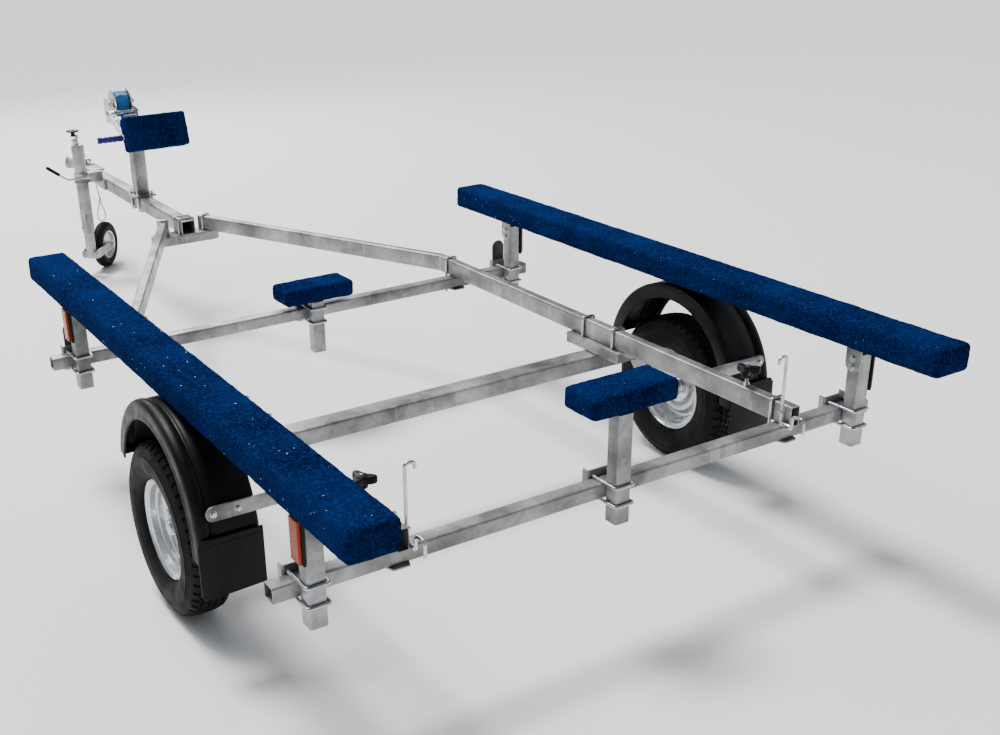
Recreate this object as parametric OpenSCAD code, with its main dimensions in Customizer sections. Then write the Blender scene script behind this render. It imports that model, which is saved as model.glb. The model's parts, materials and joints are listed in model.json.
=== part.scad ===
// Boat trailer: galvanised rail frame with two long bunks, keel pads, bow pad, hand winch,
// jockey wheel and plastic mudguards. Millimetres, +Z up, +Y towards the coupling, +X right.

/* [Overall] */
// Distance between the centres of the two road wheels
track = 1756; // [1500:1:2200]
// Distance between the rear faces of the front and rear sets of posts
post_spacing = 1670; // [1300:1:2400]
// Distance from the axle line back to the rear face of the rear posts
post_rear_y = 773; // [500:1:1200]
// Height of the underside of the side rails above the ground
rail_z = 431; // [380:1:620]
// Distance from the axle line to the front end of the drawbar tube
drawbar_front = 3520; // [3000:1:4600]
// Distance from the axle line to the rear end of the drawbar tube
drawbar_rear = 2140; // [1800:1:2600]

/* [Frame tubes] */
// Height of the side rails
rail_h = 60; // [40:1:90]
// Width of the side rails
rail_w = 34; // [25:1:60]
// Distance of the side rails from the centre line
rail_x = 612; // [450:1:700]
// Distance from the axle line back to the open rear ends of the rails
rail_rear = 745; // [640:1:1100]
// Distance from the axle line forward to the bend of the rails
bend_y = 1060; // [1030:1:1300]
// Distance of the front rail ends from the centre line
rail_front_x = 84; // [70:1:110]
// Distance from the axle line to the front ends of the rails
rail_front_y = 2215; // [2190:1:2260]
// Inside radius of the bend in the side rails
bend_r = 120; // [80:1:200]
// Outside size of the square drawbar tube
drawbar_w = 60; // [50:1:80]
// Width of the crossbeams, front to back
beam_w = 45; // [35:1:60]
// Height of the crossbeams
beam_h = 41; // [35:1:60]
// Length of the crossbeams
beam_l = 1852; // [1600:1:2200]
// Wall thickness of the square tubes
tube_t = 3; // [2:0.5:5]

/* [Posts] */
// Outside size of the square posts
post_w = 45; // [35:1:60]
// Distance of the outer posts from the centre line
post_x = 840; // [700:1:920]
// Height of the lower ends of the outer posts
post_bottom = 328; // [280:1:370]
// Height of the upper ends of the outer posts
post_top = 600; // [560:1:618]
// Height of the lower end of the front centre post
front_post_bottom = 274; // [200:1:340]
// Diameter of the rod of the U-bolts
ubolt_d = 9; // [6:0.5:12]

/* [Bunks] */
// Height of the upper face of the long bunks
bunk_top = 702; // [650:1:800]
// Thickness of the long bunks
bunk_t = 75; // [50:1:95]
// Width of the long bunks
bunk_w = 123; // [90:1:140]
// Length of the long bunks
bunk_l = 2250; // [1900:1:2600]
// Distance from the axle line forward to the middle of the long bunks
bunk_y = 83; // [0:1:150]
// Distance of the long bunks from the centre line
bunk_x = 838; // [780:1:880]
// Length of the short keel pads
pad_l = 262; // [200:1:340]
// Thickness of the short keel pads
pad_t = 56; // [40:1:70]
// Height of the upper face of the rear keel pad
rear_pad_top = 684; // [620:1:760]
// Height of the upper face of the front keel pad
front_pad_top = 516; // [500:1:560]

/* [Wheels] */
// Outside diameter of the road tyres
tyre_d = 486; // [420:1:600]
// Width of the road tyres
tyre_w = 132; // [120:1:175]
// Outside diameter of the steel rims
rim_d = 280; // [250:1:300]
// Width of the steel rims
rim_w = 86; // [76:1:110]
// Outside radius of the mudguards
guard_r = 296; // [270:1:340]
// Width of the mudguards
guard_w = 164; // [150:1:200]
// Height of the mudguards' centre above the wheel centres
guard_lift = 82; // [60:1:120]

/* [Axle] */
// Width of the square axle beam
axle_w = 70; // [50:1:80]
// Height of the axle beam
axle_h = 52; // [40:1:80]
// Distance of the axle beam forward of the wheel centres
axle_y = 100; // [70:1:160]

/* [Winch] */
// Outside size of the square winch post
wpost_w = 60; // [50:1:80]
// Distance from the axle line to the rear face of the winch post
wpost_y = 2700; // [2450:1:3000]
// Height of the top of the winch post
wpost_top = 850; // [800:1:950]
// Width of the bow pad
bow_pad_l = 286; // [200:1:340]
// Height of the bow pad
bow_pad_h = 149; // [110:1:170]
// Thickness of the bow pad
bow_pad_t = 76; // [50:1:100]
// Angle that the bow pad leans forward
bow_pad_tilt = 16; // [5:1:25]
// Distance of the middle of the bow pad to the right of the centre line
bow_pad_x = 69; // [0:1:90]
// Length of the winch crank between its axes
crank_l = 199; // [150:1:230]
// Diameter of the winch side discs
disc_d = 130; // [110:1:136]
// Diameter of the strap wound on the drum
reel_d = 96; // [60:1:104]
// Width of the strap
strap_w = 44; // [30:1:60]

/* [Jockey wheel] */
// Outside diameter of the outer jockey tube
jtube_d = 60; // [48:1:70]
// Distance of the jockey tube from the centre line
jockey_x = 130; // [100:1:160]
// Distance from the axle line to the jockey tube
jockey_y = 3240; // [3100:1:3400]
// Outside diameter of the jockey wheel tyre
jwheel_d = 232; // [180:1:240]
// Width of the jockey wheel tyre
jwheel_w = 52; // [40:1:66]
// Angle of the jockey wheel to the centre line
jockey_turn = 42; // [-180:1:180]

/* [Hidden] */
steel = [0.72, 0.74, 0.76];
zinc = [0.82, 0.84, 0.86];
black = [0.07, 0.07, 0.08];
navy = [0.07, 0.12, 0.38];
gap = 0.3;               // seat between separate pieces
run = 0.1;               // radial clearance of a shaft in its bore
stub_d = 30;
nut_d = 17;
post_seat_z = [rail_z + ubolt_d / 2 + 0.5, rail_z - beam_h - ubolt_d / 2 - 0.5];
wheel_x = track / 2;
wheel_z = tyre_d / 2;
coupling_l = 400;
front_y = drawbar_front + coupling_l - 26;
rear_y = bunk_y - bunk_l / 2;
y_mid = (front_y + rear_y) / 2;
post_front_y = post_spacing - post_rear_y;      // rear face of the front posts
beam_rear_y = -post_rear_y + post_w + gap;      // rear face of the rear crossbeam
beam_front_y = post_front_y + post_w + gap;
bend_a = atan((rail_x - rail_front_x) / (rail_front_y - bend_y));
axle_top = rail_z - 38;

module placed() translate([0, -y_mid, 0]) children();
module box(x0, x1, y0, y1, z0, z1) translate([x0, y0, z0]) cube([x1 - x0, y1 - y0, z1 - z0]);
module sides() for (s = [-1, 1]) scale([1, 1, 1]) translate([0, 0, 0]) if (s < 0) mirror([1, 0, 0])
    children(); else children();

// Square tube along +Y from the origin, centred on X, standing on Z = 0
module tube_y(l, w, h, t = tube_t) translate([-w / 2, 0, 0]) difference() {
    cube([w, l, h]);
    translate([t, -1, t]) cube([w - 2 * t, l + 2, h - 2 * t]);
}
module tube_x(l, w, h, t = tube_t) translate([-l / 2, 0, 0]) difference() {
    cube([l, w, h]);
    translate([-1, t, t]) cube([l + 2, w - 2 * t, h - 2 * t]);
}
module tube_z(w, l, t = tube_t) translate([-w / 2, 0, 0]) difference() {
    cube([w, w, l]);
    translate([t, t, -1]) cube([w - 2 * t, w - 2 * t, l + 2]);
}
// U-bolt over a piece w wide and h high; legs reach tail below Z = 0, nuts seated at Z = -seat
module ubolt(w, h, tail, seat = -1) {
    d = ubolt_d;
    r = w / 2 + d / 2 + 0.8;
    c = 6;
    top = h + d / 2 + 2 * gap;
    for (s = [-1, 1]) {
        translate([s * r, 0, -tail]) cylinder(d = d, h = tail + top - c, $fn = 24);
        translate([s * (r - c), 0, top - c]) rotate([90, 0, 0]) rotate([0, 0, s > 0 ? 0 : 90])
            rotate_extrude(angle = 90, $fn = 32) translate([c, 0]) circle(d = d, $fn = 24);
        if (seat >= 0) translate([s * r, 0, -seat - 7]) cylinder(d = nut_d, h = 7, $fn = 6);
    }
    translate([-(r - c), 0, top]) rotate([0, 90, 0]) cylinder(d = d, h = 2 * (r - c), $fn = 24);
}

module drawbar() placed() color(zinc)
    translate([0, drawbar_rear, rail_z + gap]) tube_y(drawbar_front - drawbar_rear, drawbar_w, drawbar_w);

// Channel across the rear end of the drawbar, with the U-bolts that hold drawbar and rails to it
module junction() placed() color(steel) {
    w = 88; l = 216; h = 40;
    translate([0, drawbar_rear + 8, rail_z]) difference() {
        union() {
            translate([-l / 2, 0, -h]) cube([l, w, h]);
            for (s = [-1, 1]) translate([s * l / 2, w / 2, -h]) cylinder(d = w, h = h, $fn = 64);
        }
        translate([-l / 2, 5, -h - 1]) cube([l, w - 10, h - 4]);
        for (s = [-1, 1]) translate([s * l / 2, w / 2, -h - 1]) cylinder(d = w - 10, h = h - 4, $fn = 64);
    }
    for (y = [20, 44, 68]) translate([0, drawbar_rear + 8 + y, rail_z])
        ubolt(drawbar_w, drawbar_w, 20, 5);
    for (s = [-1, 1]) translate([s * (rail_front_x + 28 * tan(bend_a)), rail_front_y - 28, rail_z])
        rotate([0, 0, s * bend_a]) ubolt(rail_w, rail_h, 20, 5);
}

module rail() {
    ym = bend_y - (bend_r + rail_w / 2) * tan(bend_a / 2);
    translate([rail_x, -rail_rear, rail_z + gap]) tube_y(ym + rail_rear, rail_w, rail_h);
    translate([rail_x - bend_r - rail_w / 2, ym, rail_z + gap]) rotate_extrude(angle = bend_a, $fn = 96)
        difference() {
            translate([bend_r, 0]) square([rail_w, rail_h]);
            translate([bend_r + tube_t, tube_t]) square([rail_w - 2 * tube_t, rail_h - 2 * tube_t]);
        }
    xe = rail_x - (bend_r + rail_w / 2) * (1 - cos(bend_a));
    ye = ym + (bend_r + rail_w / 2) * sin(bend_a);
    translate([xe, ye, rail_z + gap]) rotate([0, 0, bend_a])
        tube_y((rail_front_y - ye) / cos(bend_a), rail_w, rail_h);
}
module rails() placed() color(zinc) sides() rail();

module crossbeam(y) translate([0, y, rail_z - beam_h]) tube_x(beam_l, beam_w, beam_h);
module beam_front() placed() color(zinc) crossbeam(beam_front_y);
module beam_rear() placed() color(zinc) crossbeam(beam_rear_y);

// U-bolt over each rail in front of each crossbeam, with a plate under the beam
module rail_clamp(y) {
    py = y + beam_w + ubolt_d / 2 + 0.5;
    translate([rail_x, py, rail_z]) ubolt(rail_w, rail_h, beam_h + 24, beam_h + 6);
    translate([rail_x, py, rail_z - beam_h - 6]) linear_extrude(6 - gap)
        polygon([[-40, 12], [40, 12], [40, -14], [22, -beam_w - 16], [-22, -beam_w - 16], [-40, -14]]);
}
module rail_clamps() placed() color(steel) sides() for (y = [beam_front_y, beam_rear_y]) rail_clamp(y);

module post(x, y, z0, z1) translate([x, y, z0]) tube_z(post_w, z1 - z0);
module posts_front() placed() color(zinc) {
    for (s = [-1, 1]) post(s * post_x, post_front_y, post_bottom, post_top);
    post(0, post_front_y, front_post_bottom, front_pad_top - pad_t - gap);
}
module posts_rear() placed() color(zinc) {
    for (s = [-1, 1]) post(s * post_x, -post_rear_y, post_bottom, post_top);
    post(0, -post_rear_y, post_bottom + 4, rear_pad_top - pad_t - gap);
}
// Two level U-bolts round a post, above and below the crossbeam, and the channel in front of it
module post_clamp(x, y) {
    yf = y + post_w + beam_w + 2 * gap;
    for (z = post_seat_z) translate([x, yf, z]) rotate([90, 0, 0]) ubolt(post_w, post_w + beam_w + gap, 22, 5);
    box(x - 42, x + 42, yf, yf + 5, post_seat_z[1] - 15, post_seat_z[0] + 15);
    for (s = [-1, 1]) box(x + s * 39.5 - 2.5, x + s * 39.5 + 2.5, yf, yf + 22, post_seat_z[1] - 15, post_seat_z[0] + 15);
}
module post_clamps_front() placed() color(steel) for (s = [-1, 0, 1]) post_clamp(s * post_x, post_front_y);
module post_clamps_rear() placed() color(steel) for (s = [-1, 0, 1]) post_clamp(s * post_x, -post_rear_y);

// Angle from the inner face of each outer post to the underside of the bunk
module bunk_bracket(y) {
    z1 = bunk_top - bunk_t - gap;
    xi = post_x - post_w / 2 - gap;
    box(xi - 5, xi, y - 3, y + 48, post_top - 28, z1);
    translate([xi - 5, y + 22.5, post_top - 28]) rotate([0, 90, 0]) cylinder(d = 51, h = 5, $fn = 48);
    box(xi - 5, xi + 52, y - 3, y + 48, z1 - 5, z1);
    for (z = [post_top - 12, post_top - 38]) translate([xi - 12, y + 22.5, z]) rotate([0, 90, 0])
        cylinder(d = nut_d, h = 8, $fn = 6);
}
module bunk_brackets() placed() color(steel) sides() for (y = [post_front_y, -post_rear_y]) bunk_bracket(y);

module plank(x, y, l, w, t, z) translate([x, y, z - t]) {
    r = 12;
    hull() for (sx = [-1, 1]) for (sz = [0, 1]) translate([sx * (w / 2 - r), 0, sz ? t - r : r])
        rotate([90, 0, 0]) cylinder(r = r, h = l, center = true, $fn = 32);
}
module bunk_left() placed() color(navy) plank(-bunk_x, bunk_y, bunk_l, bunk_w, bunk_t, bunk_top);
module bunk_right() placed() color(navy) plank(bunk_x, bunk_y, bunk_l, bunk_w, bunk_t, bunk_top);
module short_pad(x, y, z) translate([x, y, 0]) rotate([0, 0, 90]) plank(0, 0, pad_l, bunk_w, pad_t, z);
module keel_pads() placed() color(navy) {
    short_pad(12, post_front_y + bunk_w / 2, front_pad_top);
    short_pad(32, -post_rear_y + bunk_w / 2, rear_pad_top);
}

module outer_slab(y, t0, t1, m, h0, h1) sides()
    box(post_x + post_w / 2 + t0, post_x + post_w / 2 + t1, y - 4 + m, y + 48 - m, rail_z + h0, rail_z + h1);
module reflector_bases() placed() color(black) for (y = [post_front_y, -post_rear_y])
    outer_slab(y, gap, 8, 0, 58, 172);
module reflectors() placed() color([0.9, 0.45, 0.05]) for (y = [post_front_y, -post_rear_y])
    outer_slab(y, 8 + gap, 16, 4, 62, 168);
module front_plates() placed() color([0.2, 0.2, 0.22]) for (s = [-1, 1])
    translate([s * post_x, post_front_y + post_w + beam_w + 24, rail_z + 2]) {
        box(-26, 26, -1.4, 3, 0, 62);
        translate([0, -1.4, 62]) rotate([-90, 0, 0]) cylinder(r = 26, h = 4.4, $fn = 48);
    }

module axle_beam() placed() color(steel) translate([0, axle_y - axle_w / 2, axle_top - axle_h])
    tube_x(2 * (wheel_x - tyre_w / 2 - 52), axle_w, axle_h, 5);
// Channel between axle beam and rail, its sides standing down past the beam's upper face
module axle_saddles() placed() color(steel) sides() {
    sw = 70; sl = 264;
    difference() {
        box(rail_x - sw / 2, rail_x + sw / 2, axle_y - sl / 2 - 12, axle_y + sl / 2 - 12, rail_z - 34, rail_z);
        box(rail_x - sw / 2 + 5, rail_x + sw / 2 - 5, axle_y - sl, axle_y + sl, rail_z - 40, rail_z - 5);
        box(rail_x - sw, rail_x + sw, axle_y - axle_w / 2 - gap, axle_y + axle_w / 2 + gap, rail_z - 40, axle_top + gap);
    }
    // pad between the beam and the channel's web
    box(rail_x - 29, rail_x + 29, axle_y - axle_w / 2, axle_y + axle_w / 2, axle_top + gap, rail_z - 4);
    for (y = [axle_y - 98, axle_y + 52]) translate([rail_x, y, rail_z]) ubolt(rail_w, rail_h, 20, 5);
}
// Trailing arms with the stub axles the wheels turn on
module axle_arms() placed() color(steel) sides() {
    xa = wheel_x - tyre_w / 2 - 52 + gap;
    translate([xa, 0, 0]) rotate([0, 90, 0]) hull() {
        translate([-(axle_top - axle_h / 2), axle_y, 0]) cylinder(d = 72, h = 20, $fn = 32);
        translate([-wheel_z, 0, 0]) cylinder(d = 62, h = 20, $fn = 32);
    }
    translate([xa + 18, 0, wheel_z]) rotate([0, 90, 0]) cylinder(d = 44, h = wheel_x - 64 - xa - 18, $fn = 48);
    translate([xa + 19, 0, wheel_z]) rotate([0, 90, 0]) cylinder(d = stub_d, h = wheel_x + 24 - xa - 19, $fn = 48);
}
// Wheel hub with its bolting flange
module hub() translate([wheel_x, 0, wheel_z]) rotate([0, 90, 0]) difference() {
    union() {
        translate([0, 0, -60]) cylinder(d = 62, h = 56, $fn = 64);
        translate([0, 0, -10]) cylinder(d = 112, h = 10 + 4 - gap, $fn = 64);
        translate([0, 0, -10]) cylinder(d = 46, h = 44, $fn = 64);
    }
    translate([0, 0, -61]) cylinder(d = stub_d + 2 * run, h = 86, $fn = 48);
}
module hub_left() placed() color(steel) mirror([1, 0, 0]) hub();
module hub_right() placed() color(steel) hub();

// Road wheel about the X axis, outer face towards +X: pressed rim with a deep dished disc
module rim() rotate([0, 90, 0]) rotate_extrude($fn = 96) polygon([
    [24, 4], [58, 4], [64, 0], [84, -6], [96, 2], [106, 4], [112, -6],
    [113, -18], [122, -22], [123, -rim_w / 2 + 5], [132, -rim_w / 2 + 2], [rim_d / 2 - 4, -rim_w / 2 - 3], [rim_d / 2, -rim_w / 2 + 1],
    [rim_d / 2 - 1, -rim_w / 2 + 5], [134, -rim_w / 2 + 7], [126, -rim_w / 2 + 10], [126, -18], [117, -14], [117, 14],
    [126, 18], [126, rim_w / 2 - 10], [134, rim_w / 2 - 7], [rim_d / 2 - 1, rim_w / 2 - 5], [rim_d / 2, rim_w / 2 - 1],
    [rim_d / 2 - 4, rim_w / 2 + 3], [132, rim_w / 2 - 2], [123, rim_w / 2 - 5], [122, 22], [113, 18], [112, 8], [105, 8],
    [94, 6], [84, -2], [66, 4], [60, 8], [24, 8]]);
module rim_left() placed() color([0.8, 0.81, 0.83]) translate([-wheel_x, 0, wheel_z]) mirror([1, 0, 0]) rim();
module rim_right() placed() color([0.8, 0.81, 0.83]) translate([wheel_x, 0, wheel_z]) rim();
module tyre() rotate([0, 90, 0]) rotate_extrude($fn = 96) polygon([
    [127, -rim_w / 2 + 11], [134, -rim_w / 2 + 8], [rim_d / 2 - 1, -rim_w / 2 + 6], [rim_d / 2 + 2, -rim_w / 2 - 2],
    [152, -tyre_w / 2 + 9], [172, -tyre_w / 2 + 2], [190, -tyre_w / 2], [208, -tyre_w / 2 + 3], [222, -tyre_w / 2 + 9],
    [tyre_d / 2 - 9, -tyre_w / 2 + 17], [tyre_d / 2 - 3, -30], [tyre_d / 2, -14], [tyre_d / 2, 14], [tyre_d / 2 - 3, 30],
    [tyre_d / 2 - 9, tyre_w / 2 - 17], [222, tyre_w / 2 - 9], [208, tyre_w / 2 - 3], [190, tyre_w / 2], [172, tyre_w / 2 - 2],
    [152, tyre_w / 2 - 9], [rim_d / 2 + 2, rim_w / 2 + 2], [rim_d / 2 - 1, rim_w / 2 - 6], [134, rim_w / 2 - 8],
    [127, rim_w / 2 - 11]]);
module tyre_left() placed() color(black) translate([-wheel_x, 0, wheel_z]) tyre();
module tyre_right() placed() color(black) translate([wheel_x, 0, wheel_z]) tyre();

// Mudguard shell over a wheel: flat crown, rounded outer shoulder and a flap behind
module guard() translate([wheel_x, -44, wheel_z + guard_lift]) {
    xi = -96; xo = guard_w - 96; r = guard_r;
    rotate([0, 90, 0]) rotate([0, 0, 104]) rotate_extrude(angle = 172, $fn = 96)
        polygon([[r - 7, xi], [r - 3, xi], [r - 3, xo - 46], [r - 8, xo - 40], [r - 3, xo - 34], [r, xo - 20], [r - 5, xo - 6],
            [r - 18, xo], [r - 48, xo], [r - 52, xo - 2], [r - 50, xo - 4], [r - 20, xo - 4], [r - 8, xo - 9],
            [r - 4, xo - 20], [r - 7, xo - 33], [r - 12, xo - 40], [r - 7, xo - 47]]);
    box(xi - 2, xo + 6, -r - 7, -r - 2, -62, 46);
    box(xi, xo, -r - 4, -r + 8, 8, 30);
}
module guard_left() placed() color(black) mirror([1, 0, 0]) guard();
module guard_right() placed() color(black) guard();
// Flat bars from the rails to the backs of the mudguards
stay_z = rail_z - 4;
stay_y = -44 - sqrt(pow(guard_r - 3, 2) - pow(stay_z - 20 - wheel_z - guard_lift, 2)) - 6 - gap;
module guard_stays() placed() color(steel) sides() {
    box(rail_x + rail_w / 2 + gap, wheel_x + 20, stay_y, stay_y + 6, stay_z - 20, stay_z + 20);
    translate([wheel_x + 20, stay_y, stay_z]) rotate([-90, 0, 0]) cylinder(d = 40, h = 6, $fn = 48);
    box(rail_x + rail_w / 2 + gap, rail_x + rail_w / 2 + 5, stay_y, stay_y + 46, stay_z - 20, stay_z + 20);
    for (x = [-44, 20]) translate([wheel_x + x, stay_y - 6, stay_z]) rotate([-90, 0, 0]) cylinder(d = 15, h = 7, $fn = 6);
}

knob_y = 185;
module rail_knobs() placed() color(black) for (s = [-1, 1])
    translate([s * rail_x, -rail_rear + knob_y, rail_z + rail_h + 36]) {
        difference() {
            union() {
                cylinder(d = 42, h = 20, $fn = 48);
                for (a = [90, 210, 330]) rotate([0, 0, a]) translate([24, 0, 0]) cylinder(d = 27, h = 20, $fn = 32);
            }
            translate([0, 0, -1]) cylinder(d = 10 + 2 * gap, h = 12, $fn = 32);
        }
    }
module knob_studs() placed() color(steel) for (s = [-1, 1])
    translate([s * rail_x, -rail_rear + knob_y, rail_z + rail_h + 2 * gap]) {
        cylinder(d = 10, h = 45, $fn = 32);
        cylinder(d = nut_d, h = 8, $fn = 6);
    }
// Bent rods held against the inner faces of the rails' rear ends
module light_rods() placed() color(steel) sides() translate([rail_x - rail_w / 2 - 8, -720, rail_z + 8]) {
    d = 9; r = 13;
    cylinder(d = d, h = 188, $fn = 32);
    translate([-r, 0, 188]) rotate([90, 0, 0]) rotate_extrude(angle = 150, $fn = 48) translate([r, 0]) circle(d = d, $fn = 24);
    sphere(d = d, $fn = 24);
    rotate([90, 0, 0]) cylinder(d = d, h = 40, $fn = 32);
    translate([0, -4, 0]) rotate([90, 0, 0]) cylinder(d = 15, h = 34, $fn = 32);
    translate([0, -40, 0]) sphere(d = d, $fn = 24);
    translate([0, -40, 0]) cylinder(d = d, h = 22, $fn = 32);
    translate([0, -60, 22]) rotate([90, 0, 90]) rotate_extrude(angle = 180, $fn = 48) translate([20, 0]) circle(d = d, $fn = 24);
    translate([0, -80, -6]) cylinder(d = d, h = 28, $fn = 32);
}

// Pressed coupling head: channel over the drawbar's end, neck and hollow ball cup
cup_y = coupling_l - 66;
function arc(r, a0, a1, n, z) = [for (i = [0 : n]) let (a = a0 + (a1 - a0) * i / n) [r * cos(a), z + r * sin(a)]];
module coupling_head() placed() color(steel) translate([0, drawbar_front, rail_z + gap]) {
    difference() {
        box(-35.5, 35.5, -120, 60, 6, drawbar_w + 4.5);
        box(-30 - gap, 30 + gap, -130, gap, -10, drawbar_w + gap);
        box(-29, 29, gap - 1, 54, -10, drawbar_w - 4);
    }
    difference() {
        box(-30, 30, 56, cup_y - 34, 16, drawbar_w - 2);
        box(-25, 25, 50, cup_y - 40, 0, drawbar_w - 7);
    }
    translate([0, cup_y, 0]) rotate_extrude($fn = 96)
        polygon(concat([[25.5, 2], [40, 2]], arc(40, 0, 90, 10, 24), arc(25.5, 90, 0, 10, 24)));
}
module coupling_handle() placed() color(steel) translate([0, drawbar_front + 100, rail_z + drawbar_w - 2]) {
    box(-14, 14, 0, 40, gap, 34);
    box(-17, 17, -70, 150, 30, 36);
    box(-17, -12, -70, 150, 16, 36);
    box(12, 17, -70, 150, 16, 36);
}

module winch_post() placed() color(steel) translate([0, wpost_y, rail_z + drawbar_w + gap]) {
    translate([0, 0, 6]) tube_z(wpost_w, wpost_top - rail_z - drawbar_w - 6, 4);
    box(-54, 54, -26, wpost_w + 26, gap, 6 + 1);
    for (y = [-15, wpost_w + 15]) translate([0, y, 0]) rotate([180, 0, 0]) translate([0, 0, 0])
        mirror([0, 0, 0]) ubolt(drawbar_w, drawbar_w + 2 * gap, 26, 7);
    // bracket that carries the bow pad
    translate([0, -wpost_y, -rail_z - drawbar_w - gap]) intersection() {
        translate([-26, wpost_y - 60, pad_z - 58]) cube([52, 61, 96]);
        union() {
            for (x = [-26, 21]) pad_frame(0) translate([x, gap, -80]) cube([5, 80, 150]);
            pad_frame(0) translate([-26, gap, -80]) cube([52, 5, 150]);
        }
        translate([-40, wpost_y - 80, pad_z - 80]) cube([80, 80.5, 160]);
    }
}
// Carpeted block leaning forward against the rear face of the post
pad_y = -gap - 14 + 14 * cos(bow_pad_tilt) - (bow_pad_h / 2 - 14) * sin(bow_pad_tilt);
pad_z = wpost_top - 71;
module pad_frame(x) translate([x, wpost_y + pad_y, pad_z]) rotate([-bow_pad_tilt, 0, 0]) children();
module bow_pad() placed() color(navy) pad_frame(bow_pad_x)
    hull() for (y = [14, bow_pad_t - 14]) for (z = [-1, 1]) translate([0, -y, z * (bow_pad_h / 2 - 14)])
        rotate([0, 90, 0]) cylinder(r = 14, h = bow_pad_l, center = true, $fn = 32);
drum_y = 195;            // drum axis forward of the winch post's rear face
drum_z = 892;
pin_y = drum_y - 75;
pin_z = drum_z - 28;
grip_y = -crank_l * cos(25);   // crank's outer axis from its inner axis
grip_z = -crank_l * sin(25);
module across(y, z, d, x0, x1, fn = 48) translate([x0, y, z]) rotate([0, 90, 0])
    cylinder(d = d, h = x1 - x0, $fn = fn);
module winch_frame() placed() color(steel) translate([0, wpost_y, 0]) {
    box(-49, 49, wpost_w + gap, wpost_w + 6, 790, 870);
    box(-49, 49, wpost_w + gap, drum_y - 70, 800, 806);
    for (s = [-1, 1]) difference() {
        box(s > 0 ? 44 : -49, s > 0 ? 49 : -44, wpost_w + gap, drum_y + 35, 800, 925);
        across(drum_y, drum_z, 20 + 2 * run, -60, 60);
        across(pin_y, pin_z, 16 + 2 * run, -60, 60);
    }
}
module winch_drum() placed() color(steel) translate([0, wpost_y, 0]) {
    across(drum_y, drum_z, 20, -54, 54);
    across(drum_y, drum_z, disc_d - 20, -37, -33, 96);
    across(drum_y, drum_z, disc_d, 33, 38, 96);
}
// Strap wound on the drum
module winch_reel() placed() color([0.1, 0.5, 0.75]) translate([0, wpost_y, 0]) difference() {
    across(drum_y, drum_z, reel_d, -33 + gap, 33 - gap, 64);
    across(drum_y, drum_z, 20, -40, 40);
}
// End of the strap hanging from the drum, with a stitched eye
module winch_strap() placed() color([0.1, 0.5, 0.75]) translate([-strap_w / 2, wpost_y, 0])
    rotate([90, 0, 90]) linear_extrude(strap_w) {
        ys = drum_y - reel_d / 2 - gap;
        polygon([[ys, drum_z], [ys, 770], [ys - 2.4, 770], [ys - 2.4, drum_z]]);
        difference() {
            translate([ys - 8, 760]) circle(d = 24, $fn = 48);
            translate([ys - 8, 760]) circle(d = 18, $fn = 48);
        }
    }
module winch_crank() placed() color(steel) translate([0, wpost_y, 0]) {
    across(pin_y, pin_z, 16, -86, 60);
    across(pin_y, pin_z, 28, 32, 40);
    translate([-86, pin_y, pin_z]) rotate([0, 90, 0]) hull() {
        cylinder(d = 28, h = 6, $fn = 32);
        translate([-grip_z, grip_y, 0]) cylinder(d = 24, h = 6, $fn = 32);
    }
    across(pin_y + grip_y, pin_z + grip_z, 10, -204, -81);
}
module winch_grip() placed() color([0.1, 0.08, 0.4]) translate([0, wpost_y, 0]) difference() {
    across(pin_y + grip_y, pin_z + grip_z, 30, -201, -87);
    across(pin_y + grip_y, pin_z + grip_z, 10, -210, -80);
}

clamp_z = 476;
module jockey_clamp() placed() color(steel) translate([-jockey_x, jockey_y, clamp_z]) difference() {
    union() {
        cylinder(d = jtube_d + 14, h = 48, $fn = 64);
        box(0, jockey_x - drawbar_w / 2 - gap, -28, 28, 0, 48);
        box(jockey_x - drawbar_w / 2 - 8, jockey_x - drawbar_w / 2 - gap, -62, 62, -42, 12);
        translate([0, -jtube_d / 2 - 26, 22]) cube([34, 52, 26]);
    }
    translate([0, 0, -1]) cylinder(d = jtube_d + 2 * run, h = 50, $fn = 64);

}
// Bent clamping lever with a black grip
module clamp_lever() placed() color(steel) translate([-jockey_x, jockey_y, clamp_z + 35]) {
    translate([17, -jtube_d / 2 - 26 - gap, 0]) rotate([90, 0, 0]) cylinder(d = 20, h = 12, $fn = 32);
    translate([17, -jtube_d / 2 - 34, 0]) rotate([0, -90, 0]) cylinder(d = 11, h = 110, $fn = 32);
    translate([-93, -jtube_d / 2 - 34, 0]) sphere(d = 11, $fn = 32);
    translate([-93, -jtube_d / 2 - 34, 0]) rotate([0, -56, 0]) {
        cylinder(d = 11, h = 60, $fn = 32);
        translate([0, 0, 58]) cylinder(d = 17, h = 73, $fn = 32);
    }
}
module jockey_tube() placed() color(steel) translate([-jockey_x, jockey_y, 0]) difference() {
    translate([0, 0, 225]) cylinder(d = jtube_d, h = 433, $fn = 64);
    translate([0, 0, 220]) cylinder(d = jtube_d - 6, h = 434, $fn = 64);
}
module jockey_crank() placed() color(steel) translate([-jockey_x, jockey_y, 0]) {
    translate([0, 0, 658 + gap]) cylinder(d = jtube_d, h = 5, $fn = 64);
    translate([0, 0, 660]) cylinder(d = 22, h = 44, $fn = 32);
    box(-26, 12, -9, 9, 702, 707);
}
module jockey_cap() placed() color(black) translate([-jockey_x - 14, jockey_y, 707 + gap]) rotate_extrude($fn = 64)
    polygon([[0, 0], [12, 0], [12, 14], [28, 20], [32, 24], [28, 28], [0, 32]]);
fork_l = 165;
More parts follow.
